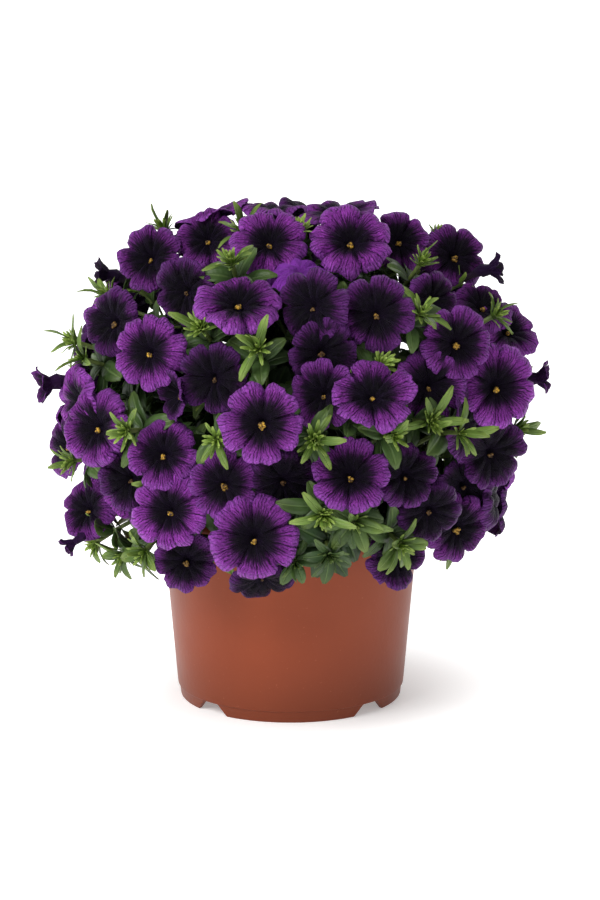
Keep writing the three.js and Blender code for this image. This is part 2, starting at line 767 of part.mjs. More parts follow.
// A shoot's stalk has a whorl of leaves below its head, and its head bears narrow leaflets. Each
// blade grows out of one triangle of the stalk's or the head's surface, so the shoot is one skin.
function shootSkin({ curve, hint }, { outward, leaflet, number }, grown) {
  const { radius, tipRadius, whorl, whorlHeight, whorlTurn, headRadius, headHeight, headTurn } = SHOOT;
  const random = seeded(DRAWS.shoots + number);
  const triangle = (centre, frame, reach, turned) =>
    [0, 1, 2].map((corner) =>
      centre.clone().addScaledVector(around(frame, ((corner + turned) * 2 * Math.PI) / 3), reach),
    );
  const frameAt = (place) => {
    return { side: hint, top: new THREE.Vector3().crossVectors(curve.getTangent(place), hint) };
  };
  const way = curve.getTangent(whorl);
  const whorlFoot = curve.getPoint(whorl);
  const whorlTop = whorlFoot.clone().addScaledVector(way, whorlHeight);
  const tip = curve.getPoint(1);
  const rings = [
    triangle(curve.getPoint(0), frameAt(0), radius, 0),
    triangle(whorlFoot, frameAt(whorl), radius, 0),
    triangle(whorlTop, frameAt(whorl), radius, whorlTurn),
    triangle(tip, squareTo(outward), tipRadius, 0),
    triangle(tip.clone().addScaledVector(outward, headHeight), squareTo(outward), headRadius, headTurn),
  ];
  const points = [];
  const triangles = [];
  const buds = []; // the triangles that blades grow from
  let lower = null;
  rings.forEach((ring, step) => {
    let upper = ring.map((point) => points.push(point) - 1);
    if (lower) {
      upper = nearestTurn(lower, upper, points);
      const faces = [];
      stitch(lower, upper, faces);
      for (let face = 0; face < faces.length; face += 3) {
        const corners = faces.slice(face, face + 3);
        const isLeaf = step === 2 && face % 6 === 0;
        const isLeaflet = step === rings.length - 1 && face > 3;
        if (isLeaf || isLeaflet) buds.push({ corners, isLeaf, axis: isLeaf ? way : outward });
        else triangles.push(...corners);
      }
    } else {
      cap(upper, triangles, true);
    }
    lower = upper;
  });
  buds.push({ corners: lower, isLeaf: false, axis: outward });
  buds.forEach(({ corners, isLeaf, axis }, bud) => {
    const length = isLeaf ? random(...SHOOT.leaf) : leaflet * random(...SHOOT.leafletSpread);
    const lift = random(...(isLeaf ? SHOOT.leafLift : SHOOT.leafletLift));
    if (!grown[bud]) {
      triangles.push(...corners);
      return;
    }
    const [one, two, three] = corners.map((corner) => points[corner]);
    const middle = one.clone().add(two).add(three).divideScalar(3);
    const outOf = two.clone().sub(one).cross(three.clone().sub(one)).normalize();
    const bladeWay = outOf.addScaledVector(axis, lift).normalize();
    let below = corners;
    for (const section of bladeSections(middle, bladeWay, axis, length, isLeaf ? LEAF : LEAFLET)) {
      const above = nearestTurn(below, section.map((point) => points.push(point) - 1), points);
      stitch(below, above, triangles);
      below = above;
    }
  });
  const geometry = new THREE.BufferGeometry().setFromPoints(points);
  geometry.setIndex(triangles);
  return toSolid(geometry);
}

// The second ring's points, started where they lie nearest to the first ring's.
function nearestTurn(lower, upper, points) {
  if (upper.length === 1) return upper;
  const turned = upper.map((_, start) => [...upper.slice(start), ...upper.slice(0, start)]);
  const twist = (ring) =>
    ring.reduce((sum, point, at) => sum + points[point].distanceTo(points[lower[at]]), 0);
  return turned.sort((one, other) => twist(one) - twist(other))[0];
}

function placeShoot(plan, stems) {
  for (const shift of SHOOT.shifts) {
    const spot = plan.spot.clone().addScaledVector(plan.towards, shift);
    for (const { stem, place: start, from } of branchStarts(stems, spot, SHOOT.least)) {
      const branch = branchCurve(from, spot, plan.outward, SHOOT.bow);
      const isClear = (solid) => neighbours(solid, stem.trunk).length === 0;
      const bare = Array(SHOOT.blades).fill(false);
      if (!isClear(shootSkin(branch, plan, bare))) continue;
      const grown = bare.map((_, number) => isClear(shootSkin(branch, plan, bare.with(number, true))));
      if (grown.filter(Boolean).length < SHOOT.fewest) continue;
      const shoot = shootSkin(branch, plan, grown);
      stem.parts.push(shoot);
      stem.branched.add(start);
      place(stem.name, shoot);
      return true;
    }
  }
  return false;
}

function outwardAt(spot) {
  const half = spot.z > MOUND.level ? MOUND.above : MOUND.below;
  const { radius, level } = MOUND;
  const slope = new THREE.Vector3(spot.x / radius ** 2, spot.y / radius ** 2, (spot.z - level) / half ** 2);
  return slope.normalize();
}

function frontShootPlans() {
  return FRONT_SHOOTS.map(([across, up, lift, leaflet], number) => {
    const { spot, towards } = frontSpot(across, up, lift);
    return { number, spot, towards, outward: outwardAt(spot), leaflet };
  });
}

function restShootPlans(taken) {
  const plans = [];
  const { count, lowest, nearest, lift, leaflet } = REST_SHOOTS;
  moundSpots(count, lowest, 1).forEach(({ spot, outward }, place) => {
    const number = FRONT_SHOOTS.length + place;
    spot.addScaledVector(outward, lift);
    const isCrowded = (other) => other.spot.distanceTo(spot) < nearest;
    if ([...taken, ...plans].some(isCrowded)) return;
    const length = seeded(DRAWS.leaflets + number)(...leaflet);
    plans.push({ number, spot, towards: outward, outward, leaflet: length });
  });
  return plans;
}

// ---------------------------------------------------------------- the whole plant in its pot

const pot = makePot();
place("pot", pot);
const stems = makeStems();
const compost = boreCompost(makeCompost(), stems);
place("compost", compost);

const frontBlooms = listedBloomPlans(FRONT_BLOOMS, 0);
const behindBlooms = listedBloomPlans(BEHIND_BLOOMS, FRONT_BLOOMS.length);
const restBlooms = restBloomPlans([...frontBlooms, ...behindBlooms]);
const isPlaced = (plan) => placeBloom(plan, stems);
const isShot = (plan) => placeShoot(plan, stems);
const nearBlooms = frontBlooms.filter(isPlaced);
const frontShoots = frontShootPlans().filter(isShot);
const farBlooms = [...behindBlooms, ...restBlooms].filter(isPlaced);
const blooms = joinLoneBlooms([...nearBlooms, ...farBlooms], stems);
const shoots = [...frontShoots, ...restShootPlans([...blooms, ...frontShoots]).filter(isShot)];
stems.forEach((stem, number) => leavesOnStem(stem, seeded(DRAWS.stemLeaves + number)));

const materials = Object.fromEntries(
  Object.entries(LOOKS).map(([slot, look]) => [slot, new THREE.MeshStandardMaterial(look)]),
);
const plant = new THREE.Group();
plant.add(toMesh("pot", pot, materials.pot), toMesh("compost", compost, materials.compost));
for (const { name, parts } of stems) {
  plant.add(toMesh(name, wasm.Manifold.union(parts), materials.foliage));
}
bodies.forEach(({ flowers }, number) => {
  const name = `blooms_${String(number + 1).padStart(2, "0")}`;
  plant.add(toMesh(name, wasm.Manifold.union(flowers), materials.blooms));
});

export default plant;
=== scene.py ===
from itertools import product
from math import cos, pi, radians, sin, sqrt, tan

import bmesh
import bpy
import numpy as np
from mathutils import Matrix, Vector
from mathutils.bvhtree import BVHTree
from mathutils.kdtree import KDTree


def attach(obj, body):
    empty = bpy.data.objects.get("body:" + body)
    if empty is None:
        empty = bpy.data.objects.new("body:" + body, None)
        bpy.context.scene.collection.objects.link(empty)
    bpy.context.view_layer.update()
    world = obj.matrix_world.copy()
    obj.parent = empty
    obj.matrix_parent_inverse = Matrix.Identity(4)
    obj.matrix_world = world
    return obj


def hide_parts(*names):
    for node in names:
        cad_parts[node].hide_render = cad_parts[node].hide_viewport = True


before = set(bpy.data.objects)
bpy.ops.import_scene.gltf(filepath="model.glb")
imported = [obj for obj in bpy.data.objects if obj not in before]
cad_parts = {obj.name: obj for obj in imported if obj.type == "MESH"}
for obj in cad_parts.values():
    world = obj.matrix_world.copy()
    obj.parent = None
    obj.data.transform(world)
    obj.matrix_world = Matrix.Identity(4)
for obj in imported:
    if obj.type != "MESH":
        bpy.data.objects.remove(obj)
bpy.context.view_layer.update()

MM = 0.001


# The view: a long lens 1.6 m in front of the plant, held a little above it and looking down on
# it. The plant stands on a wide pale floor, in a white tent that is brightest near the floor,
# with one large soft light at the front left and weaker ones at the right and behind.
VIEW_DISTANCE = 1600
VIEW_TILT = radians(13)
VIEW_AIM = np.array((4.4, 0, 116.4))
LOOKING = np.array((0, cos(VIEW_TILT), -sin(VIEW_TILT)))
VIEW_EYE = VIEW_AIM - VIEW_DISTANCE * LOOKING
LENS = 137.6
SENSOR = 36
CLIP_END = 50

camera = bpy.data.objects.new("camera", bpy.data.cameras.new("camera"))
camera.data.lens = LENS
camera.data.sensor_fit = "VERTICAL"
camera.data.sensor_height = SENSOR
camera.data.clip_end = CLIP_END
camera.location = VIEW_EYE * MM
camera.rotation_euler = (pi / 2 - VIEW_TILT, 0, 0)
bpy.context.scene.collection.objects.link(camera)
bpy.context.scene.camera = camera
bpy.context.scene.view_settings.view_transform = "Standard"

# Each light: its place, its width in metres and its power in watts.
SOFT_LIGHTS = {
    "key_light": ((-1.5, -1.4, 1.9), 1.5, 62),
    "fill_light": ((1.5, -1.0, 0.9), 1.0, 1.5),
    "back_light": ((0.6, 1.8, 1.6), 1.4, 14),
}
LIGHTS_AIM = Vector((0, 0, 0.12))
TENT_FADE = {"From Min": 0.03, "From Max": 0.22, "To Min": 1, "To Max": 0.24}
WHITE = (1, 1, 1, 1)

for name, (place, width, power) in SOFT_LIGHTS.items():
    light = bpy.data.objects.new(name, bpy.data.lights.new(name, "AREA"))
    light.data.size = width
    light.data.energy = power
    light.location = place
    aim = LIGHTS_AIM - Vector(place)
    light.rotation_euler = aim.to_track_quat("-Z", "Y").to_euler()
    bpy.context.scene.collection.objects.link(light)

tent = bpy.data.worlds.new("white_tent")
tent.use_nodes = True
tent_nodes = tent.node_tree.nodes
tent_links = tent.node_tree.links
tent_light = tent_nodes["Background"]
tent_light.inputs["Color"].default_value = WHITE
tent_way = tent_nodes.new("ShaderNodeTexCoord")
tent_axes = tent_nodes.new("ShaderNodeSeparateXYZ")
tent_fade = tent_nodes.new("ShaderNodeMapRange")
for socket, value in TENT_FADE.items():
    tent_fade.inputs[socket].default_value = value
tent_links.new(tent_way.outputs["Generated"], tent_axes.inputs[0])
tent_links.new(tent_axes.outputs["Z"], tent_fade.inputs["Value"])
tent_links.new(tent_fade.outputs[0], tent_light.inputs["Strength"])
bpy.context.scene.world = tent


# Finishes: a shader's values are written as Python expressions, and each adds its own node.
class Value:
    def __init__(self, finish, socket):
        self.finish = finish
        self.socket = socket

    def maths(self, operation, *inputs):
        return self.finish.node("Math", dict(enumerate(inputs)), operation=operation)

    def __add__(self, other):
        return self.maths("ADD", self, other)

    def __sub__(self, other):
        return self.maths("SUBTRACT", self, other)

    def __rsub__(self, other):
        return self.maths("SUBTRACT", other, self)

    def __mul__(self, other):
        return self.maths("MULTIPLY", self, other)

    __radd__ = __add__
    __rmul__ = __mul__

    def __abs__(self):
        return self.maths("ABSOLUTE", self)

    def sine(self):
        return self.maths("SINE", self)

    def rise(self, low, high):
        """0 below the low value and 1 above the high one, with a smooth step between them."""
        span = {"Value": self, "From Min": low, "From Max": high}
        return self.finish.node("MapRange", span, interpolation_type="SMOOTHSTEP")


class Finish:
    def __init__(self, name, constants):
        self.material = bpy.data.materials.new(name)
        self.material.use_nodes = True
        self.tree = self.material.node_tree
        self.shader = self.tree.nodes["Principled BSDF"]
        for socket, constant in constants.items():
            self.shader.inputs[socket].default_value = constant

    def node(self, kind, inputs=None, output=0, **settings):
        """Adds a node of a kind, with its settings and the values of its sockets."""
        made = self.tree.nodes.new("ShaderNode" + kind)
        for name, setting in settings.items():
            setattr(made, name, setting)
        for name, value in (inputs or {}).items():
            if isinstance(value, Value):
                self.tree.links.new(value.socket, made.inputs[name])
            else:
                made.inputs[name].default_value = value
        return Value(self, made.outputs[output])

    def blend(self, share, one, other):
        """A colour between two others, by its share of the second."""
        return self.node("Mix", {0: share, 6: one, 7: other}, output=2, data_type="RGBA")

    def place(self):
        return self.node("TexCoord", output="Object")

    def carried(self, name):
        """The three values that a mesh carries under a name at each of its corners."""
        vector = self.node("Attribute", output=1, attribute_name=name)
        return [self.node("SeparateXYZ", {0: vector}, output=axis) for axis in range(3)]

    def grain(self, scale, detail=2):
        """Noise over the object, about 0.5, of a given number of grains to the metre."""
        return self.node("TexNoise", {"Vector": self.place(), "Scale": scale, "Detail": detail})

    def paint(self, socket, value):
        self.tree.links.new(value.socket, self.shader.inputs[socket])

    def relief(self, height, distance):
        """Roughens the surface by a height, in metres of distance."""
        bump = {"Height": height, "Distance": distance, "Strength": 1}
        self.paint("Normal", self.node("Bump", bump))


def colour(red, green, blue):
    """A shader's colour for a screen's red, green and blue of 0 to 255."""
    linear = []
    for tint in (red / 255, green / 255, blue / 255):
        linear.append(((tint + 0.055) / 1.055) ** 2.4 if tint > 0.04045 else tint / 12.92)
    return (*linear, 1)


def mesh_of(name, shape):
    """A new mesh of an edited shape, which is freed."""
    mesh = bpy.data.meshes.new(name)
    shape.to_mesh(mesh)
    shape.free()
    return mesh


def smooth(mesh):
    for face in mesh.polygons:
        face.use_smooth = True


def new_piece(name, mesh, *materials):
    piece = bpy.data.objects.new(name, mesh)
    bpy.context.scene.collection.objects.link(piece)
    for material in materials:
        mesh.materials.append(material)
    return piece


# The floor: one wide pale disc. It glows softly, so that it looks as white as the tent, and less
# by the pot, where the dimmer glow paints a faint shadow on it. All its distances are in metres.
FLOOR_RADIUS = 12
FLOOR_STEPS = 96
FLOOR_GLOW = 0.85
GLOW_BY_POT = (0.35, 0.35, 0.35, 1)
GLOW_RISE = (0.04, 0.12)

floor_shape = bmesh.new()
bmesh.ops.create_circle(floor_shape, cap_ends=True, segments=FLOOR_STEPS, radius=FLOOR_RADIUS)
floor_mesh = mesh_of("floor", floor_shape)

pale = Finish("pale_floor", {"Roughness": 0.9, "Emission Strength": FLOOR_GLOW})
patches = pale.grain(3).rise(0.2, 0.8)
pale.paint("Base Color", pale.blend(patches, colour(243, 243, 243), colour(246, 246, 245)))
from_pot = pale.node("VectorMath", {0: pale.place()}, output="Value", operation="LENGTH")
# Painted shadow: the floor's glow is dimmed close to the pot.
pale.paint("Emission Color", pale.blend(from_pot.rise(*GLOW_RISE), GLOW_BY_POT, WHITE))
new_piece("floor", floor_mesh, pale.material)


# The pot: a thin 12 cm grower's pot of satin terracotta-brown plastic, one moulded shell. It
# has a narrow lip round its rim, a shallow step down to the foot ring, four wedge-shaped notches
# that leave it on four feet, and four drain holes in its floor.
POT_HEIGHT = 92
POT_RIM = 61.7
POT_WALL = 1.3
LIP_HEIGHT = 3.2
LIP_REACH = 1.1
LIP_ROUND = 0.6
LIP_FOOT_ROUND = 0.4
FOOT_HEIGHT = 5.4
FOOT_INSET = 0.7
FOOT_TAPER = 0.6
FOOT_THICKNESS = 2.1
FOOT_ROUND = 0.6
FOOT_BEVEL = 0.3
STEP_ROUND = 0.5
STEP_SLOPE = 0.1
POT_BASE = 53.1
POT_FLOOR = 6.4
NOTCHES = 4
NOTCH_TOP = 9
NOTCH_FOOT = 21
NOTCH_DEPTH = 8
DRAIN_RADIUS = 4
DRAIN_REACH = 40
DRAIN_DEPTH = 8
DRAIN_STEPS = 32
POT_STEPS = 144
POT_CREASE = radians(35)


def pot_wall(level):
    """The wall's outer radius at a level."""
    share = (level - FOOT_HEIGHT) / (POT_HEIGHT - FOOT_HEIGHT)
    return POT_BASE + (POT_RIM - LIP_REACH - POT_BASE) * share


def turned(outline, steps):
    """A closed body spun about the upright axis from an outline that starts and ends on it."""
    body = bmesh.new()
    corners = [body.verts.new((reach, 0, level)) for reach, level in outline]
    edges = [body.edges.new(pair) for pair in zip(corners, corners[1:])]
    spin = {"cent": (0, 0, 0), "axis": (0, 0, 1), "angle": 2 * pi}
    bmesh.ops.spin(body, geom=corners + edges, steps=steps, use_merge=True, **spin)
    bmesh.ops.remove_doubles(body, verts=body.verts, dist=1e-4)
    bmesh.ops.recalc_face_normals(body, faces=body.faces)
    return body


def rounded(corner, radius, start, turn, steps=4):
    """Points of an arc of a given turn in degrees, which rounds a corner of an outline."""
    angles = [radians(start + turn * step / steps) for step in range(steps + 1)]
    return [(corner[0] + radius * cos(angle), corner[1] + radius * sin(angle)) for angle in angles]


def cut(body, cutter):
    """Takes one closed mesh out of another."""
    mesh = mesh_of("cutting", cutter)
    tool = bpy.data.objects.new("cutting", mesh)
    bpy.context.scene.collection.objects.link(tool)
    taking = body.modifiers.new("cut", "BOOLEAN")
    taking.operation = "DIFFERENCE"
    taking.solver = "EXACT"
    taking.object = tool
    evaluated = body.evaluated_get(bpy.context.evaluated_depsgraph_get())
    shaped = bpy.data.meshes.new_from_object(evaluated)
    body.modifiers.clear()
    body.data = shaped
    bpy.data.objects.remove(tool)
    bpy.data.meshes.remove(mesh)


foot_reach = POT_BASE - FOOT_INSET
foot_inner = foot_reach - FOOT_TAPER - FOOT_THICKNESS
floor_top = POT_FLOOR + POT_WALL
lip_foot = POT_HEIGHT - LIP_HEIGHT
outer_levels = np.linspace(FOOT_HEIGHT + 3, lip_foot - 1, 12)
inner_levels = np.linspace(POT_HEIGHT - 2, floor_top + 1, 6)
pot_outline = [
    (0, POT_FLOOR),
    (foot_inner, POT_FLOOR),
    (foot_inner, FOOT_BEVEL),
    (foot_inner + FOOT_BEVEL, 0),
    *rounded((foot_reach - FOOT_TAPER - FOOT_ROUND, FOOT_ROUND), FOOT_ROUND, -90, 80),
    (foot_reach - STEP_SLOPE, FOOT_HEIGHT - FOOT_ROUND),
    (foot_reach + STEP_SLOPE, FOOT_HEIGHT - STEP_SLOPE),
    *rounded((POT_BASE - STEP_ROUND, FOOT_HEIGHT + STEP_ROUND), STEP_ROUND, -80, 76),
    *[(pot_wall(level), level) for level in outer_levels],
    (pot_wall(lip_foot) + STEP_SLOPE, lip_foot - 2 * STEP_SLOPE),
    *rounded((POT_RIM - LIP_FOOT_ROUND, lip_foot + LIP_FOOT_ROUND), LIP_FOOT_ROUND, -80, 80),
    *rounded((POT_RIM - LIP_ROUND, POT_HEIGHT - LIP_ROUND), LIP_ROUND, 0, 170, 6),
    (pot_wall(POT_HEIGHT) - POT_WALL, POT_HEIGHT - LIP_ROUND - STEP_SLOPE),
    *[(pot_wall(level) - POT_WALL, level) for level in inner_levels],
    (pot_wall(floor_top) - POT_WALL - 1, floor_top),
    (0, floor_top),
]
pot_shape = turned([(reach * MM, level * MM) for reach, level in pot_outline], POT_STEPS)
pot_mesh = mesh_of("pot_shell", pot_shape)

plastic = Finish("satin_plastic", {"Specular IOR Level": 0.2})
mottle = plastic.grain(34, 3).rise(0.25, 0.75)
broad = plastic.grain(9).rise(0.3, 0.7)
clay = plastic.blend(broad, colour(140, 63, 33), colour(134, 60, 32))
clay = plastic.blend(mottle * 0.5, clay, colour(128, 57, 31))
pot_level = plastic.node("SeparateXYZ", {0: plastic.place()}, output=2)
# Painted shade: the pot is darkened over its lowest 4 cm, towards the foot ring.
clay = plastic.blend((1 - pot_level.rise(0, 0.04)) * 0.4, clay, colour(84, 40, 25))
specks = plastic.grain(900, 1).rise(0.72, 0.8)
plastic.paint("Base Color", plastic.blend(specks * 0.25, clay, colour(180, 112, 86)))
plastic.paint("Roughness", 0.36 + 0.08 * mottle + 0.1 * specks)
plastic.relief(plastic.grain(420) + 0.5 * plastic.grain(60), 0.00006)

pot = new_piece("pot_shell", pot_mesh, plastic.material)
for side in range(NOTCHES):
    turn = Matrix.Rotation((side + 0.5) * 2 * pi / NOTCHES, 4, "Z")
    wedge = bmesh.new()
    bmesh.ops.create_cube(wedge, size=1)
    for corner in wedge.verts:
        width = NOTCH_FOOT if corner.co.z < 0 else NOTCH_TOP
        level = -1 if corner.co.z < 0 else FOOT_HEIGHT
        inward = corner.co.y * NOTCH_DEPTH - foot_reach + 1
        corner.co = Vector((corner.co.x * width, inward, level)) * MM
    bmesh.ops.transform(wedge, matrix=turn, verts=wedge.verts)
    cut(pot, wedge)
    drain = bmesh.new()
    radii = {"radius1": DRAIN_RADIUS * MM, "radius2": DRAIN_RADIUS * MM}
    depth = DRAIN_DEPTH * MM
    bmesh.ops.create_cone(drain, cap_ends=True, segments=DRAIN_STEPS, depth=depth, **radii)
    bmesh.ops.translate(drain, vec=Vector((0, -DRAIN_REACH, floor_top)) * MM, verts=drain.verts)
    bmesh.ops.transform(drain, matrix=turn, verts=drain.verts)
    cut(pot, drain)
pot.data.name = "pot_shell"
smooth(pot.data)
pot.data.set_sharp_from_angle(angle=POT_CREASE)
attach(pot, "root")
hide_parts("pot")


# The compost: dark damp peat that fills the pot to just under its rim. Its top is uneven and
# crumbly, with loose crumbs and fibres lying on it.
COMPOST_TOP = 83
COMPOST_RELIEF = 1.3
COMPOST_GAP = 0.6
COMPOST_EDGE = 2.5
COMPOST_RINGS = 44
COMPOST_STEPS = 120
COMPOST_SEED = 5
CRUMBS = 420
CRUMB_RADIUS = (0.5, 1.5)
CRUMB_LUMPS = (0.7, 1.15)


def compost_height(x, y):
    """The compost's level at a place: slow swells, as in the solid under it, with finer lumps."""
    swell = np.sin(x * 0.19 + 1) * np.cos(y * 0.23) + 0.4 * np.sin(x * 0.5 + y * 0.41)
    lumps = np.sin(x * 1.7 + 2 * np.sin(y * 0.9)) * np.cos(y * 1.5 + 1.4 * np.sin(x * 1.1))
    return COMPOST_TOP + COMPOST_RELIEF * (swell + 0.35 * lumps)


peat_reach = pot_wall(COMPOST_TOP) - POT_WALL - COMPOST_GAP
peat_foot = pot_wall(floor_top + 1) - POT_WALL - COMPOST_GAP
peat_base = floor_top + 0.4
peat_outline = [(0, peat_base), (peat_foot, peat_base), (peat_reach, COMPOST_TOP - COMPOST_EDGE)]
peat_outline += [(reach, COMPOST_TOP) for reach in np.linspace(peat_reach - 0.5, 0, COMPOST_RINGS)]
peat_shape = turned(peat_outline, COMPOST_STEPS)
for spot in peat_shape.verts:
    if spot.co.z > COMPOST_TOP - 0.1:
        spot.co.z = compost_height(spot.co.x, spot.co.y)
chance = np.random.default_rng(COMPOST_SEED)
for _ in range(CRUMBS):
    reach, turn = (peat_reach - 3) * sqrt(chance.random()), 2 * pi * chance.random()
    size = chance.uniform(*CRUMB_RADIUS)
    place = (reach * cos(turn), reach * sin(turn))
    crumb = bmesh.ops.create_icosphere(peat_shape, subdivisions=1, radius=size)["verts"]
    for spot in crumb:
        spot.co *= chance.uniform(*CRUMB_LUMPS)
    lying = Matrix.Translation((*place, compost_height(*place) + 0.2 * size))
    bmesh.ops.transform(peat_shape, matrix=lying, verts=crumb)
bmesh.ops.scale(peat_shape, vec=(MM, MM, MM), verts=peat_shape.verts)
peat_mesh = mesh_of("peat", peat_shape)

peat = Finish("damp_peat", {"Roughness": 0.95, "Specular IOR Level": 0.2})
crumbly = peat.grain(700, 4)
fibres = peat.grain(230, 3).rise(0.6, 0.72)
dark_peat = peat.blend(crumbly.rise(0.3, 0.75), colour(24, 17, 13), colour(62, 45, 33))
peat.paint("Base Color", peat.blend(fibres * 0.5, dark_peat, colour(92, 66, 44)))
peat.relief(crumbly, 0.0012)
compost = new_piece("peat", peat_mesh, peat.material)
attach(compost, "root")
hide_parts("compost")


# The stems: three rings of them rise from the compost, low ones that hang over the rim, leaning
# ones and upright ones. They are thin, round and green, and they branch all along.
STEM_RINGS = [
    dict(count=5, start=-72, foot=25, rise=44, reach=74, level=97, pitch=-22, run=24),
    dict(count=4, start=-100, foot=15, rise=42, reach=66, level=152, pitch=32, run=30),
    dict(count=3, start=-30, foot=6, rise=56, reach=32, level=188, pitch=64, run=30),
]
STEM_FOOT_DEPTH = 9
STEM_FOOT_RADIUS = 2.0
STEM_TIP_RADIUS = 1.15
STEM_STEPS = 5
STEM_POINTS = 15
BRANCH_FIRST = 0.4
BRANCH_LAST = 0.985
BRANCH_PLACES = 21
UP = np.array((0.0, 0.0, 1.0))
GOLDEN_TURN = pi * (3 - sqrt(5))


def unit(way):
    return way / np.linalg.norm(way)


def square_to(way):
    """Two directions square to the given one, which make a right-handed set with it."""
    hint = np.array((1.0, 0, 0)) if abs(way[2]) > 0.95 else UP
    side = unit(np.cross(hint, way))
    return side, np.cross(way, side)


def around(square, angle):
    return square[0] * cos(angle) + square[1] * sin(angle)


def bezier(corners, share):
    """The place at a share of the way along a curve of three or four corners."""
    while len(corners) > 1:
        corners = [one + (other - one) * share for one, other in zip(corners, corners[1:])]
    return corners[0]


def bezier_way(corners, share):
    slopes = [other - one for one, other in zip(corners, corners[1:])]
    return unit(bezier(slopes, share))


stems = []
for ring in STEM_RINGS:
    for number in range(ring["count"]):
        turn = radians(ring["start"]) + number / ring["count"] * 2 * pi
        out = np.array((cos(turn), sin(turn), 0))
        foot = out * ring["foot"] + UP * (COMPOST_TOP - STEM_FOOT_DEPTH)
        end = out * ring["reach"] + UP * ring["level"]
        ending = out * cos(radians(ring["pitch"])) + UP * sin(radians(ring["pitch"]))
        corners = [foot, foot + UP * ring["rise"], end - ending * ring["run"], end]
        joints = [bezier(corners, step / STEM_STEPS) for step in range(STEM_STEPS + 1)]
        stem = {"node": f"stem_{len(stems) + 1:02d}", "corners": corners, "joints": joints}
        stems.append(stem | {"lines": [], "blades": []})


def on_stem(stem, share):
    """A place on a stem's solid, which runs straight from joint to joint, and its way there."""
    step = min(int(share * STEM_STEPS), STEM_STEPS - 1)
    start, end = stem["joints"][step : step + 2]
    return start + (end - start) * (share * STEM_STEPS - step), unit(end - start)


def branch_share(place):
    return BRANCH_FIRST + (BRANCH_LAST - BRANCH_FIRST) * place / (BRANCH_PLACES - 1)


BRANCH_SHARES = [branch_share(place) for place in range(BRANCH_PLACES)]
for stem in stems:
    shares = np.linspace(0, 1, STEM_POINTS)
    path = [bezier(stem["corners"], share) for share in shares]
    radii = [STEM_FOOT_RADIUS + (STEM_TIP_RADIUS - STEM_FOOT_RADIUS) * share for share in shares]
    stem["lines"].append((path, radii))


def near(tree, spot, reach=0.06):
    """The number of a solid's corner within reach of a place, if there is one."""
    _, number, distance = tree.find(spot)
    return number if distance is not None and distance < reach else None


def corners_of(kind):
    """A search tree over the corners of a kind of solids, in mm, and the node of each corner."""
    nodes = sorted(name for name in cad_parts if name.startswith(kind))
    places = [(spot.co / MM, name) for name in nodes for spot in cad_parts[name].data.vertices]
    tree = KDTree(len(places))
    for number, (place, _) in enumerate(places):
        tree.insert(place, number)
    tree.balance()
    return tree, [name for _, name in places]
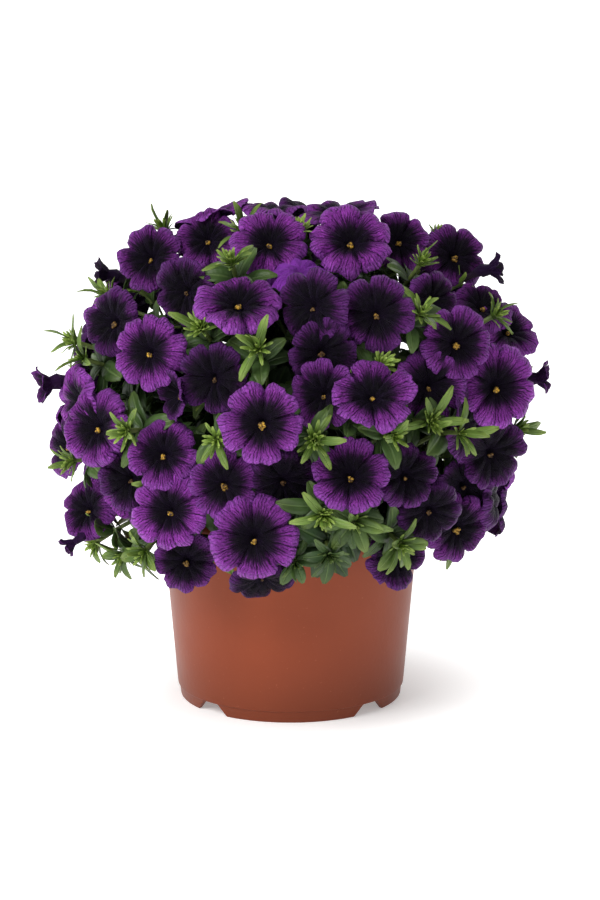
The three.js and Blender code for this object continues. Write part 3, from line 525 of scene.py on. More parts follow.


# Where the blooms stand: their faces lie about a mound, flatter above its widest level. The front
# half is laid out as it is seen from the camera: across and up on an upright picture through the
# aim, lift off the mound, yaw to the right and pitch above level, diameter, cup (above 0 the rim
# is drawn forward into a funnel, below 0 it curls back) and tone with painted shade (1 bright and
# lit, 0 nearly black, painted as a bloom deep in shade).
SEED = 11
MOUND_RADIUS = 105
MOUND_LEVEL = 140
MOUND_ABOVE = 88
MOUND_BELOW = 110
FRONT_BLOOMS = [
    (-57, -28, 8, -14, 13, 37, 0, 0.95),
    (-17, -41, 10, 0, 10, 40, 0, 0.8),
    (-13, 13, 8, 0, 15, 37, 0, 0.8),
    (97, 30, 8, 20, 15, 40, 0, 0.95),
    (28, 99, 4, 0, 46, 40, 0, 1),
    (-24, 70, 6, 5, 56, 39, 0, 0.85),
    (38, 27, 6, 0, 48, 38, 0, 0.8),
    (28, -11, 5, 0, 35, 36, 0, 0.75),
    (-67, 46, 4, -22, 15, 35, 0, 0.88),
    (-92, 11, 6, -35, 15, 38, 0, 0.8),
    (78, 50, 2, 18, 15, 35, 0, 0.65),
    (-66, 90, 0, -20, 24, 32, 0, 0.6),
    (-10, 98, -2, 0, 46, 36, 0, 0.95),
    (77, 91, 0, 22, 24, 32, 0, 0.6),
    (102, 57, 2, 38, 45, 33, 0, 0.75),
    (95, -2, 4, 28, -6, 35, 0, 0.35),
    (-96, -27, 0, -40, 20, 32, 0, 0.7),
    (9, 67, 2, -25, 10, 33, 0, 0.35),
    (40, 64, 0, 0, 15, 34, 0, 0.45),
    (65, 30, 0, 12, 10, 34, 0, 0.6),
    (-60, -1, 0, -15, 25, 33, 0, 0.75),
    (79, -37, -2, 30, -5, 34, 0, 0.6),
    (-39, 99, 0, -15, 35, 31, 0, 0.7),
    (-31, -16, 0, -3, 10, 31, 0, 0.62),
    (-112, 31, 0, -72, -10, 18, 0.7, 0.5),
    (114, 31, 0, 78, 8, 16, 0.8, 0.45),
    (-101, -45, 0, -70, -30, 10, 1.3, 0.4),
    (-86, 84, 0, -80, 10, 15, 0.8, 0.1),
    (93, 84, 0, 80, 10, 15, 0.8, 0.1),
    (-84, 60, -2, -42, 15, 33, 0, 0.4),
    (-13, -63, 4, 5, -50, 30, 0, 0.2),
    (-49, -52, 2, -10, 0, 30, 0, 0.45),
    (33, -47, -3, 5, -5, 35, 0, 0.3),
    (51, 98, -3, 15, 25, 30, 0, 0.65),
    (5, 86, -3, 5, 70, 29, -0.35, 1.3),
    (-50, 74, -8, -30, 5, 31, 0, 0.3),
    (-36, 33, -8, -10, 0, 32, 0, 0.25),
    (15, 45, -10, 10, 0, 31, 0, 0.3),
    (66, 72, -8, 30, 5, 30, 0, 0.45),
    (90, 68, -6, 30, 50, 30, 0, 0.6),
    (12, 26, -6, -15, 10, 32, 0, 0.6),
    (-106, 2, -4, -60, 10, 31, 0, 0.6),
    (-3, -15, -8, 10, -5, 31, 0, 0.2),
    (52, -12, -4, 25, 10, 31, 0, 0.4),
    (84, -16, -6, 25, -10, 32, 0, 0.3),
    (50, -50, -4, 30, 0, 30, 0, 0.35),
    (8, -50, -4, -5, -5, 30, 0, 0.3),
    (65, -29, 4, 10, -10, 30, 0, 0.25),
    (-75, -14, -8, -10, 0, 30, 0, 0.3),
    (8, -32, -6, 0, -5, 30, 0, 0.25),
    (-54, 23, -12, -60, 0, 24, 0.4, 0.4),
]
FRONT_ASIDE = 2.5
REST_COUNT = 104
REST_LOWEST = -0.58
REST_LIFT = (0, 9.2)
REST_TOP_SHARE = 0.9
REST_TILT = 16
REST_PITCH = -8
REST_ASIDE = 5
REST_DIAMETER = (34, 40)
REST_TONE = (0.2, 1)
# Bloom 90 gets a low tone, as painted shade.
DEEP_TONES = {90: 0.35}
GROWTHS = (1, 1.1, 0.92)
SHIFTS = (0, -2, 2, -4, 4, -6, -8, -11, -14)
ASIDES = 5
COROLLA_DRAWS = 1000
LOBES = 5
SHOULDER = radians(19)
SINUS = 0.84
SINUS_DROP = 0.06
UNEVENNESS = 0.06
WAVE = 0.07
TWIST = 0.5
CUP_NARROWING = 0.2
THROAT_RADIUS = 4.4
THROAT_SHARE = 0.4
NECK_DEPTH = 6
TUBE_LENGTH = 11
TUBE_GAP = 0.3
FIRST_LOOK = 6
LEAST_SEEN = 2
LEAST_FOUND = 5


def seeded(number):
    """A row of draws, always the same for the same number."""
    state = (number * 48271 + SEED) % 2147483647

    def draw(low, high):
        nonlocal state
        state = state * 16807 % 2147483647
        return low + (high - low) * state / 2147483647

    return draw


def facing(yaw, pitch):
    level = cos(radians(pitch))
    return np.array((level * sin(radians(yaw)), -level * cos(radians(yaw)), sin(radians(pitch))))


def front_spot(across, up, lift):
    """The spot on the mound that shows at a place of the picture, and the way to the camera."""
    seen = np.array((across, up * sin(VIEW_TILT), VIEW_AIM[2] + up * cos(VIEW_TILT)))
    ray = unit(seen - VIEW_EYE)
    above = VIEW_EYE[2] - VIEW_EYE[1] * ray[2] / ray[1] > MOUND_LEVEL
    half = MOUND_ABOVE if above else MOUND_BELOW
    scale = np.array((1 / MOUND_RADIUS, 1 / MOUND_RADIUS, 1 / half))
    start = (VIEW_EYE - UP * MOUND_LEVEL) * scale
    way = ray * scale
    nearest = -start.dot(way) / way.dot(way)
    missed = start + way * nearest
    back = sqrt(max(0, 1 - missed.dot(missed)) / way.dot(way))
    return VIEW_EYE + ray * (nearest - back) - ray * lift, -ray


def mound_spots(count, lowest, offset):
    """Spots spread evenly over the mound, each with the mound's outward direction there."""
    for number in range(count):
        height = lowest + (1 - lowest) * (number + 0.5) / count
        level = sqrt(1 - height * height)
        turn = number * GOLDEN_TURN + offset
        way = np.array((level * cos(turn), level * sin(turn), height))
        half = MOUND_ABOVE if height > 0 else MOUND_BELOW
        spread = np.array((MOUND_RADIUS, MOUND_RADIUS, half))
        yield way * spread + UP * MOUND_LEVEL, unit(way / spread)


def asides_about(way, reach):
    steps = [step * 2 * pi / ASIDES for step in range(ASIDES)]
    return [np.zeros(3), *[around(square_to(way), turn) * reach for turn in steps]]


bloom_plans = []
for number, (across, up, lift, yaw, pitch, diameter, cup, tone) in enumerate(FRONT_BLOOMS):
    spot, towards = front_spot(across, up, lift)
    plan = {"number": number, "spot": spot, "towards": towards}
    plan |= {"asides": asides_about(towards, FRONT_ASIDE), "faces": facing(yaw, pitch)}
    bloom_plans.append(plan | {"diameter": diameter, "cup": cup, "tone": tone})
for place, (spot, outward) in enumerate(mound_spots(REST_COUNT, REST_LOWEST, 0)):
    number = len(FRONT_BLOOMS) + place
    draw = seeded(number)
    leaning = around(square_to(outward), draw(0, 2 * pi))
    upward = np.array((*outward[:2], max(outward[2], sin(radians(REST_PITCH)))))
    faces = unit(upward + leaning * tan(radians(draw(0, REST_TILT))))
    spot = spot + outward * draw(*REST_LIFT) * (1 - REST_TOP_SHARE * outward[2])
    plan = {"number": number, "spot": spot, "towards": outward}
    plan |= {"asides": asides_about(outward, REST_ASIDE), "faces": faces}
    plan |= {"diameter": draw(*REST_DIAMETER), "cup": 0, "tone": draw(*REST_TONE)}
    bloom_plans.append(plan | {"tone": DEEP_TONES.get(number, plan["tone"])})


def lobes_of(plan, reach):
    """How a bloom is rolled about its axis, and the length, rise and twist of each of its lobes."""
    draw = seeded(COROLLA_DRAWS + plan["number"])
    roll = draw(0, 2 * pi)
    lobes = []
    for _ in range(LOBES):
        length = reach * (1 + draw(-UNEVENNESS, UNEVENNESS))
        rise = reach * (plan["cup"] + draw(-WAVE, WAVE))
        lobes.append((length, rise, reach * draw(-WAVE, WAVE) * TWIST))
    return roll, lobes


def rim_of(plan, reach):
    """The rim's corners about the bloom's middle: a sinus and two shoulders for each lobe."""
    square = square_to(plan["faces"])
    roll, lobes = lobes_of(plan, reach)
    rim = []
    for lobe, (length, rise, twist) in enumerate(lobes):
        turn = roll + lobe * 2 * pi / LOBES
        low = reach * (plan["cup"] * SINUS - SINUS_DROP)
        sinus = reach * SINUS * (1 - CUP_NARROWING * plan["cup"])
        rim.append(around(square, turn - pi / LOBES) * sinus + plan["faces"] * low)
        rim.append(around(square, turn - SHOULDER) * length + plan["faces"] * (rise - twist))
        rim.append(around(square, turn + SHOULDER) * length + plan["faces"] * (rise + twist))
    return rim


bloom_corners, bloom_nodes = corners_of("blooms")
stem_corners, stem_nodes = corners_of("stem")


def find_bloom(plan):
    """Fits a bloom to its solid and adds its reach, its middle and its node, if it has one."""
    for growth in GROWTHS:
        reach = plan["diameter"] * growth / 2
        rim = rim_of(plan, reach)
        for aside, shift in product(plan["asides"], SHIFTS):
            centre = plan["spot"] + aside + plan["towards"] * shift
            seen = [near(bloom_corners, centre + corner) for corner in rim[:FIRST_LOOK]]
            if sum(number is not None for number in seen) < LEAST_SEEN:
                continue
            seen += [near(bloom_corners, centre + corner) for corner in rim[FIRST_LOOK:]]
            found = [number for number in seen if number is not None]
            if len(found) >= LEAST_FOUND:
                return plan | {"reach": reach, "centre": centre, "node": bloom_nodes[found[0]]}
    return None


def find_start(bloom):
    """Adds the stem and the place on it where a bloom's branch starts, by the end of its tube."""
    best = None
    neck = bloom["centre"] - bloom["faces"] * NECK_DEPTH
    for stem in stems:
        for place, share in enumerate(BRANCH_SHARES):
            homeward = unit(on_stem(stem, share)[0] - bloom["centre"])
            tube_way = unit(homeward - bloom["faces"])
            _, _, distance = bloom_corners.find(neck + tube_way * TUBE_LENGTH)
            if best is None or distance < best["miss"]:
                best = {"miss": distance, "stem": stem, "share": share, "tube_way": tube_way}
    return bloom | best


blooms = [find_start(bloom) for bloom in map(find_bloom, bloom_plans) if bloom]
for bloom in blooms:
    bloom["narrow"] = min(THROAT_RADIUS, bloom["reach"] * THROAT_SHARE) / THROAT_RADIUS
    bloom["neck"] = bloom["centre"] - bloom["faces"] * NECK_DEPTH
    bloom["base"] = bloom["neck"] + bloom["tube_way"] * TUBE_LENGTH


# The blooms: each is one thin petal skin, spun as a flat disc and then drawn out by formula. Its
# five broad lobes run down into a soft funnel and a narrow tube that bends back to the stalk.
COROLLA_TURNS = 60
LIMB_SHARES = (0, 0.04, 0.09, 0.14, 0.19, 0.25, 0.32, 0.4, 0.48, 0.56, 0.64, 0.72, 0.8)
RIM_SHARES = (0.87, 0.94, 1)
BACK_SHARES = (0.995, 0.88, 0.68, 0.48, 0.32)
TUBE_SHARES = (0, 0.15, 0.36, 0.6, 0.82, 1)
TUBE_SPAN = 0.9
TOP_SIDE, BACK_SIDE, TUBE_SIDE = 2, 1, 0
LOBE_TURN = 2 * pi / LOBES
LOBE_FULLNESS = 2.8
LOBE_NOTCH = 0.05
NOTCH_WIDTH = radians(6)
LIMB_START = 0.2
LIMB_CURVE = 1.7
FUNNEL_DEPTH = 0.26
FUNNEL_SOFTNESS = 2.4
THROAT_DEPTH = 0.16
THROAT_WIDTH = 0.15
SINUS_CLEFT = 0.06
CLEFT_WIDTH = 0.12
SINUS_FOLD = 0.14
MIDRIB_GROOVE = 0.022
MIDRIB_WIDTH = radians(5)
PILLOW = 0.065
RUFFLE = (0.015, 0.05)
RUFFLE_WAVES = (5, 8, 13, 19)
RECURVE = 0.14
RECURVE_START = 0.8
RECURVE_SPREAD = (0.3, 1.5)
LOBE_CURL = (-0.1, 0.12)
LOBE_LEAN = 0.07
FRILL = (0.006, 0.016)
RIM_THICKNESS = 0.35
THROAT_THICKNESS = 0.6
TUBE_START = 4.2
TUBE_TIP_RADIUS = 1.4
TUBE_FLARE = 3.3
TUBE_MIDDLE = 0.05
LOOK_DRAWS = 7000
ANTHERS = 5
ANTHER_BULK = (0.7, 1.15)
ANTHER_DARKEST = 0.55
ANTHER_RADIUS = (0.75, 1.2)
ANTHER_SPREAD = (0.3, 1.5)
ANTHER_STRAY = 0.4
ANTHER_DEPTH = 0.2
ANTHER_DROP = 0.095
PALEST_TONE = 1.2

corolla_outline = [(share, TOP_SIDE) for share in LIMB_SHARES + RIM_SHARES]
corolla_outline += [(share, BACK_SIDE) for share in BACK_SHARES]
corolla_outline += [(1 - TUBE_SPAN * share, TUBE_SIDE) for share in TUBE_SHARES]
corolla_outline.append((0, TUBE_SIDE))
corolla = mesh_of("corolla", turned(corolla_outline, COROLLA_TURNS))
smooth(corolla)
flat = np.array([spot.co for spot in corolla.vertices], dtype=float)
on_side = np.rint(flat[:, 2])
turn_at = np.arctan2(flat[:, 1], flat[:, 0])
share_at = np.hypot(flat[:, 0], flat[:, 1])
tube_at = np.clip((1 - share_at) / TUBE_SPAN, 0, 1)

# Each corner carries where on the petals it lies: the cosine and sine of its turn, and a run
# that goes 0 to 1 from throat to rim, and on to 2 along the back and 3 along the tube. It also
# carries two values of the whole bloom: its tone with its painted shade, and a number that makes
# its noise its own.
run_behind = np.where(on_side == BACK_SIDE, 2 - share_at, 2 + tube_at)
run_at = np.where(on_side == TOP_SIDE, share_at, run_behind)
petal_place = np.stack([np.cos(turn_at), np.sin(turn_at), run_at], axis=1)
petal_layer = corolla.attributes.new("petal", "FLOAT_VECTOR", "POINT")
petal_layer.data.foreach_set("vector", petal_place.ravel())
corolla.attributes.new("bloom", "FLOAT_VECTOR", "POINT")


def about(turns, side, top):
    return np.outer(np.cos(turns), side) + np.outer(np.sin(turns), top)


def shaped_corolla(bloom):
    """The places of the corolla's corners on a bloom, in mm."""
    side, top = square_to(bloom["faces"])
    reach, cup = bloom["reach"], bloom["cup"]
    roll, lobes = lobes_of(bloom, reach)
    draw = seeded(LOOK_DRAWS + bloom["number"])
    lobe_at = np.floor(turn_at / LOBE_TURN + 0.5).astype(int)
    aside = turn_at - lobe_at * LOBE_TURN
    length, rise, twist = np.array(lobes)[lobe_at % LOBES].T
    edge = np.abs(aside) / (LOBE_TURN / 2)
    sinus = reach * SINUS * (1 - CUP_NARROWING * cup)
    low = reach * (cup * SINUS - SINUS_DROP)
    rim_reach = sinus + (length - sinus) * np.sqrt(np.maximum(1 - edge**LOBE_FULLNESS, 0))
    rim_reach -= reach * LOBE_NOTCH * np.exp(-((aside / NOTCH_WIDTH) ** 2))
    rim_reach -= reach * SINUS_CLEFT * np.exp(-(((1 - edge) / CLEFT_WIDTH) ** 2))
    rim_rise = low + (rise + twist * aside / SHOULDER - low) * (1 - edge**4)

    share = share_at
    outer = np.clip((share - LIMB_START) / (1 - LIMB_START), 0, 1)
    middling = np.sin(pi * outer**0.8)
    curve = 1 + (LIMB_CURVE - 1) * max(0, 1 - abs(cup))
    level = rim_rise * share**curve
    level -= reach * FUNNEL_DEPTH * np.exp(-FUNNEL_SOFTNESS * share)
    level -= reach * SINUS_FOLD * edge**6 * (0.4 * outer + 0.6 * middling)
    level -= reach * MIDRIB_GROOVE * np.exp(-((aside / MIDRIB_WIDTH) ** 2)) * middling
    level += reach * PILLOW * np.sin(pi * edge) * middling
    for waves in RUFFLE_WAVES:
        size = draw(*RUFFLE) * reach * (5 / waves) ** 0.5
        level += size * np.sin(waves * turn_at + draw(0, 2 * pi)) * share**5
        rim_reach += draw(*FRILL) * reach * np.sin((waves + 2) * turn_at + draw(0, 2 * pi))
    curls = np.array([draw(*LOBE_CURL) for _ in range(LOBES)])[lobe_at % LOBES]
    leans = np.array([draw(-LOBE_LEAN, LOBE_LEAN) for _ in range(LOBES)])[lobe_at % LOBES]
    bowed = curls * (1 - edge**2) + leans * np.sin(pi * aside / SHOULDER / 2) * (1 - edge**6)
    level -= reach * bowed * share**4
    curled = np.clip((share - RECURVE_START) / (1 - RECURVE_START), 0, 1)
    level -= reach * RECURVE * draw(*RECURVE_SPREAD) * curled**2
    spread = share * (reach + (rim_reach - reach) * share**2)

    pit = reach * THROAT_DEPTH * np.exp(-((share / THROAT_WIDTH) ** 1.5))
    skin = RIM_THICKNESS + (THROAT_THICKNESS - RIM_THICKNESS) * (1 - share)
    height = level - pit - np.where(on_side == TOP_SIDE, 0, skin)
    turned_on = roll + turn_at
    outwards = about(turned_on, side, top)
    places = bloom["centre"] + outwards * spread[:, None] + np.outer(height, bloom["faces"])

    corners = [bloom["centre"] - bloom["faces"] * TUBE_START, bloom["neck"], bloom["base"]]
    for run in sorted(set(tube_at[on_side == TUBE_SIDE])):
        ring = (on_side == TUBE_SIDE) & (tube_at == run)
        back = -bezier_way(corners, run)
        across = unit(side - back * side.dot(back))
        upright = np.cross(back, across)
        radius = bloom["narrow"] * (TUBE_TIP_RADIUS + TUBE_FLARE * (1 - run) ** 1.6)
        radius = np.where(share_at[ring] < TUBE_MIDDLE, 0, radius)
        outwards = about(turned_on[ring], across, upright)
        places[ring] = bezier(corners, run) + outwards * radius[:, None]
    return places


def add_copy(body, template, places, **values):
    """Adds a copy of a small mesh to a body, with its corners at places in mm."""
    template.vertices.foreach_set("co", (places * MM).ravel())
    for name, value in values.items():
        spread = np.broadcast_to(value, places.shape)
        template.attributes[name].data.foreach_set("vector", spread.ravel())
    body.from_mesh(template)


def add_anthers(body, bloom):
    """A small golden cluster in the throat, a little below its middle, smaller and darker in a
    bloom in painted shade.
    """
    draw = seeded(LOOK_DRAWS * 2 + bloom["number"])
    brightness = ANTHER_DARKEST + (1 - ANTHER_DARKEST) * min(bloom["tone"], 1)
    bulk = draw(*ANTHER_BULK) * brightness * bloom["narrow"]
    drop = -UP + bloom["faces"] * bloom["faces"][2]
    square = (np.cross(drop, bloom["faces"]), drop)
    middle = bloom["centre"] + bloom["reach"] * (ANTHER_DROP * drop - ANTHER_DEPTH * bloom["faces"])
    upright = Vector(bloom["faces"]).to_track_quat("Z", "Y").to_matrix().to_4x4()
    shape = {"u_segments": 7, "v_segments": 5}
    tones = body.verts.layers.float_vector["bloom"]
    turn = draw(0, 2 * pi)
    for _ in range(ANTHERS):
        turn += 2 * pi / ANTHERS + draw(-ANTHER_STRAY, ANTHER_STRAY)
        aside = around(square, turn) * draw(*ANTHER_SPREAD) * bulk
        spot = middle + aside + bloom["faces"] * draw(-ANTHER_STRAY, ANTHER_STRAY)
        size = draw(*ANTHER_RADIUS) * bulk
        lying = Matrix.Translation(spot * MM) @ upright
        grain = bmesh.ops.create_uvsphere(body, radius=size * MM, matrix=lying, **shape)["verts"]
        for corner in grain:
            corner[tones] = (bloom["tone"], 0, 0)
        for face in {face for corner in grain for face in corner.link_faces}:
            face.material_index = 1
            face.smooth = True


sheen = {"Sheen Weight": 0.05, "Sheen Roughness": 0.4, "Sheen Tint": colour(190, 150, 235)}
petals = Finish("velvet_petal", {"Specular IOR Level": 0.1} | sheen)
petal_cosine, petal_sine, run = petals.carried("petal")
tone, seed = petals.carried("bloom")[:2]


def streaks(count, length, detail):
    """Noise stretched along the petals, of about a number of streaks round the bloom."""
    place = {0: petal_cosine * count + seed * 9, 1: petal_sine * count, 2: run * length}
    noise = {"Vector": petals.node("CombineXYZ", place), "Scale": 1, "Detail": detail}
    return petals.node("TexNoise", noise)


def veins(streak, width):
    return 1 - abs(streak - 0.5).rise(0, width)


def by_tone(dark, bright):
    """A colour between that of the bloom darkest in tone and painted shade and that of a bright
    one.
    """
    return petals.blend(tone, colour(*dark), colour(*bright))


front_side = 1 - run.rise(1, 1.01)
petal_turn = petal_sine.maths("ARCTAN2", petal_sine, petal_cosine)
lobe_wave = abs((petal_turn * 2.5).sine())
midveins = 1 - lobe_wave.rise(0.02, 0.1)
# Painted shade: a dark line along the fold at each sinus between two lobes.
sinus_lines = lobe_wave.rise(0.982, 1)
vein_wave = abs((petal_turn * 32.5 + 9 * (streaks(3, 4, 3) - 0.5)).sine())
main_veins = (1 - vein_wave.rise(0.05, 0.75)) * streaks(7, 5, 1).rise(0.25, 0.6)
fine_veins = veins(streaks(22, 11, 1), 0.14)
feather = streaks(9, 2.2, 2)
wash = streaks(2.2, 2.4, 2)
puckers = streaks(6, 6, 1)
marked = 1 - tone.rise(1.05, 1.25)
# Painted shade also widens the dark blotch and throat on a bloom of low tone.
blotch_edge = run + 0.38 * tone + 0.5 * (feather - 0.5) + 0.4 * (wash - 0.5)
blotch_edge = blotch_edge - 0.08 * main_veins - 0.05 * midveins
blotch = (1 - blotch_edge.rise(0.7, 1.12)) * marked
throat_edge = run + 0.28 * tone + 0.16 * (feather - 0.5)
throat = (1 - throat_edge.rise(0.5, 0.86)) * marked
# The veins' own dark colour, with the painted shade of the sinus creases added.
ink = main_veins * (0.85 - 0.3 * run) + fine_veins * 0.45
ink = (ink + midveins * 0.3 + sinus_lines * 0.4) * marked
# Painted shade: each bloom's colours run from nearly black to bright by its tone, as shaded and lit
# copies of the same colours.
limb = by_tone((38, 13, 50), (160, 66, 180))
limb = petals.blend(wash.rise(0.3, 0.7) * 0.6, limb, by_tone((30, 10, 42), (112, 40, 130)))
# Paler towards the rim: partly the petal's own paler edge, partly a painted sheen.
limb = petals.blend(run.rise(0.75, 1) * 0.5, limb, by_tone((54, 24, 78), (180, 100, 212)))
limb = petals.blend(ink * 0.9, limb, colour(38, 10, 46))
limb = petals.blend(blotch * 0.94, limb, colour(17, 6, 22))
limb = petals.blend(throat, limb, colour(9, 6, 12))
pale_violet = petals.blend(wash, colour(124, 44, 158), colour(160, 74, 202))
limb = petals.blend(1 - marked, limb, pale_violet)
back_streaks = veins(streaks(9, 1.6, 1), 0.1)
under = by_tone((36, 17, 52), (92, 42, 112))
under = petals.blend(back_streaks * 0.5, under, colour(40, 18, 50))
under = petals.blend(run.rise(2.1, 3), under, colour(58, 48, 40))
petals.paint("Base Color", petals.blend(front_side, under, limb))
petals.paint("Roughness", 0.44 + 0.12 * wash)
petal_height = main_veins * -0.7 + fine_veins * -0.4 + puckers * 2.6 + petals.grain(1500) * 0.6
petals.relief(petal_height, 0.0007)

pollen = Finish("golden_pollen", {"Roughness": 0.7})
pollen_grain = pollen.grain(900).rise(0.4, 0.65)
# Painted shade: the anthers of a bloom of low tone are darker.
pollen_tone = pollen.carried("bloom")[0].rise(0.2, 0.9)
gold = pollen.blend(pollen_tone, colour(104, 72, 30), colour(206, 160, 50))
pollen.paint("Base Color", pollen.blend(pollen_grain, colour(64, 42, 18), gold))

for node in sorted({bloom["node"] for bloom in blooms}):
    body = bmesh.new()
    for bloom in blooms:
        if bloom["node"] == node:
            draw = seeded(LOOK_DRAWS * 3 + bloom["number"])
            look = (bloom["tone"], draw(0, 10), 0)
            add_copy(body, corolla, shaped_corolla(bloom), bloom=look)
            if bloom["tone"] < PALEST_TONE:
                add_anthers(body, bloom)
    flower_mesh = mesh_of(node.replace("blooms", "flowers"), body)
    flowers = new_piece(flower_mesh.name, flower_mesh, petals.material, pollen.material)
    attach(flowers, "root")
    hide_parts(node)
bpy.data.meshes.remove(corolla)


# The shoots: each has a stalk with a whorl of leaves below its tip, and a head of narrow young
# leaflets. The front ones are laid out like the blooms: across, up, lift and leaflets' length.
FRONT_SHOOTS = [
    (-95, 42, 2, 15),
    (-99, 50, 0, 13),
    (-41, 56, 0, 15),
    (-15, 47, 0, 16),
    (-22, 54, 2, 13),
    (-27, 86, 2, 13),
    (4, 101, 0, 14),
    (-58, 101, 0, 12),
    (67, 99, 0, 12),
    (60, 63, 2, 15),
    (60, 86, 0, 12),
    (47, 7, 4, 15),
    (11, 5, 2, 14),
    (78, 8, 4, 15),
    (103, 10, 2, 15),
    (15, -30, 6, 15),
    (29, -33, 6, 16),
    (18, -48, 4, 15),
    (50, -43, 4, 14),
    (-89, -42, 2, 15),
    (-77, -48, 2, 14),
    (-67, -46, 2, 13),
    (-34, 5, -2, 13),
    (-100, -5, 0, 13),
    (2, -51, 2, 13),
    (-75, 9, 0, 12),
]
REST_SHOOTS = 66
REST_SHOOT_LOWEST = -0.6
REST_SHOOT_LIFT = -4
REST_LEAFLET = (12, 16)
SHOOT_SHIFTS = (0, 3, -3, 6, -6, 9, -9, 12)
SHOOT_BOW = 0.4
STALK_RADIUS = 1.1
WHORL = 0.74
WHORL_HEIGHT = 2.4
WHORL_TURN = 0.25
STALK_TIP_RADIUS = 1
HEAD_RADIUS = 1.5
HEAD_HEIGHT = 1.8
HEAD_TURN = 0.5
SHOOT_LEAVES = 3
SHOOT_LEAF = (14, 20)
SHOOT_LEAF_LIFT = (0.1, 0.8)
SHOOT_LEAF_AGE = 0.12
LEAFLET_AGE = 0.42
LEAFLET_LIFT = (0.2, 1)
LEAFLET_SPREAD = (0.8, 1.15)
LEAFLET_DRAWS = 2000
SHOOT_DRAWS = 3000

# The forms of leaf: how far each bends back, and how wide it is for its length. A blade's age
# below is its colour: 0 dark and old, 1 bright and young. The filling leaves and three front
# shoots are given low values as painted shade.
LEAF = {"kind": "leaf", "arch": 0.2, "width": 0.36}
LEAFLET = {"kind": "leaflet", "arch": 0.05, "width": 0.23}
BROAD_LEAF = {"kind": "leaf", "arch": 0.24, "width": 0.5}
YOUNG_LEAF = {"kind": "leaf", "arch": 0.16, "width": 0.42}
YOUNG_LEAFLET = {"kind": "leaflet", "arch": -0.12, "width": 0.17}
SEPAL = {"kind": "leaflet", "arch": 0.12, "width": 0.2}


def ring_about(middle, square, reach, turned_by):
    """The three corners of a stalk's ring about its middle."""
    turns = [(corner + turned_by) * 2 * pi / 3 for corner in range(3)]
    return [middle + around(square, turn) * reach for turn in turns]


def nearest_turn(lower, upper):
    """A ring's corners, started where they lie nearest to another ring's."""

    def distance(ring):
        return sum(np.linalg.norm(one - two) for one, two in zip(lower, ring))

    return min([upper[start:] + upper[:start] for start in range(len(upper))], key=distance)


def new_blade(form, root, way, upper, length, age):
    """A leaf's plan: where its root is, the way it grows, the way its face looks and its length."""
    return form | {"root": root, "way": unit(way), "upper": upper, "length": length, "age": age}


def tip_of(blade):
    side = unit(np.cross(blade["way"], blade["upper"]))
    face = np.cross(side, blade["way"])
    return blade["root"] + (blade["way"] - face * blade["arch"]) * blade["length"]


def branch_corners(start, end, arriving, bow):
    return [start, end - arriving * bow * np.linalg.norm(end - start), end]


def find_shoot(plan):
    """Fits a shoot to its solid: how far it is shifted, its stem, and where its stalk starts."""
    square = square_to(plan["outward"])
    for shift in SHOOT_SHIFTS:
        tip = plan["spot"] + plan["towards"] * shift
        head = ring_about(tip + plan["outward"] * HEAD_HEIGHT, square, HEAD_RADIUS, HEAD_TURN)
        found = [near(stem_corners, corner) for corner in head]
        if None in found:
            continue
        stem = next(stem for stem in stems if stem["node"] == stem_nodes[found[0]])
        fit = {"stem": stem, "tip": tip, "head": head}
        for share in BRANCH_SHARES:
            corners = branch_corners(on_stem(stem, share)[0], tip, plan["outward"], SHOOT_BOW)
            hint = np.cross(plan["outward"], corners[2] - corners[0])
            hint = unit(hint) if np.linalg.norm(hint) > 1e-3 else square[0]
            foot = bezier(corners, WHORL) + hint * STALK_RADIUS
            if near(stem_corners, foot) is not None:
                return plan | fit | {"share": share, "corners": corners, "hint": hint}
    return None


def blades_of(shoot):
    """The shoot's three leaves and five leaflets, where its solid has them."""
    corners, hint, outward = shoot["corners"], shoot["hint"], shoot["outward"]
    way = bezier_way(corners, WHORL)
    square = (hint, np.cross(way, hint))
    start_way = bezier_way(corners, 0)
    foot = ring_about(corners[0], (hint, np.cross(start_way, hint)), STALK_RADIUS, 0)
    lower = nearest_turn(foot, ring_about(bezier(corners, WHORL), square, STALK_RADIUS, 0))
    whorl_top = bezier(corners, WHORL) + way * WHORL_HEIGHT
    upper = nearest_turn(lower, ring_about(whorl_top, square, STALK_RADIUS, WHORL_TURN))
    tip = ring_about(shoot["tip"], square_to(outward), STALK_TIP_RADIUS, 0)
    tip = nearest_turn(upper, tip)
    head = nearest_turn(tip, shoot["head"])
    buds = [(lower[one], upper[two], upper[one]) for one, two in ((0, 1), (1, 2), (2, 0))]
    for one, two in ((1, 2), (2, 0)):
        buds += [(tip[one], head[two], head[one]), (tip[one], tip[two], head[two])]
    buds.append(head)
    draw = seeded(SHOOT_DRAWS + shoot["number"])
    blades = []
    for number, (one, two, three) in enumerate(buds):
        if number < SHOOT_LEAVES:
            form, axis, length = LEAF, way, draw(*SHOOT_LEAF)
            lift, age = draw(*SHOOT_LEAF_LIFT), SHOOT_LEAF_AGE
        else:
            form, axis, length = LEAFLET, outward, shoot["leaflet"] * draw(*LEAFLET_SPREAD)
            lift, age = draw(*LEAFLET_LIFT), LEAFLET_AGE
        grown = unit(np.cross(two - one, three - one)) + axis * lift
        blade = new_blade(form, (one + two + three) / 3, grown, axis, length, age)
        if near(stem_corners, tip_of(blade)) is not None:
            blades.append(blade)
    return blades


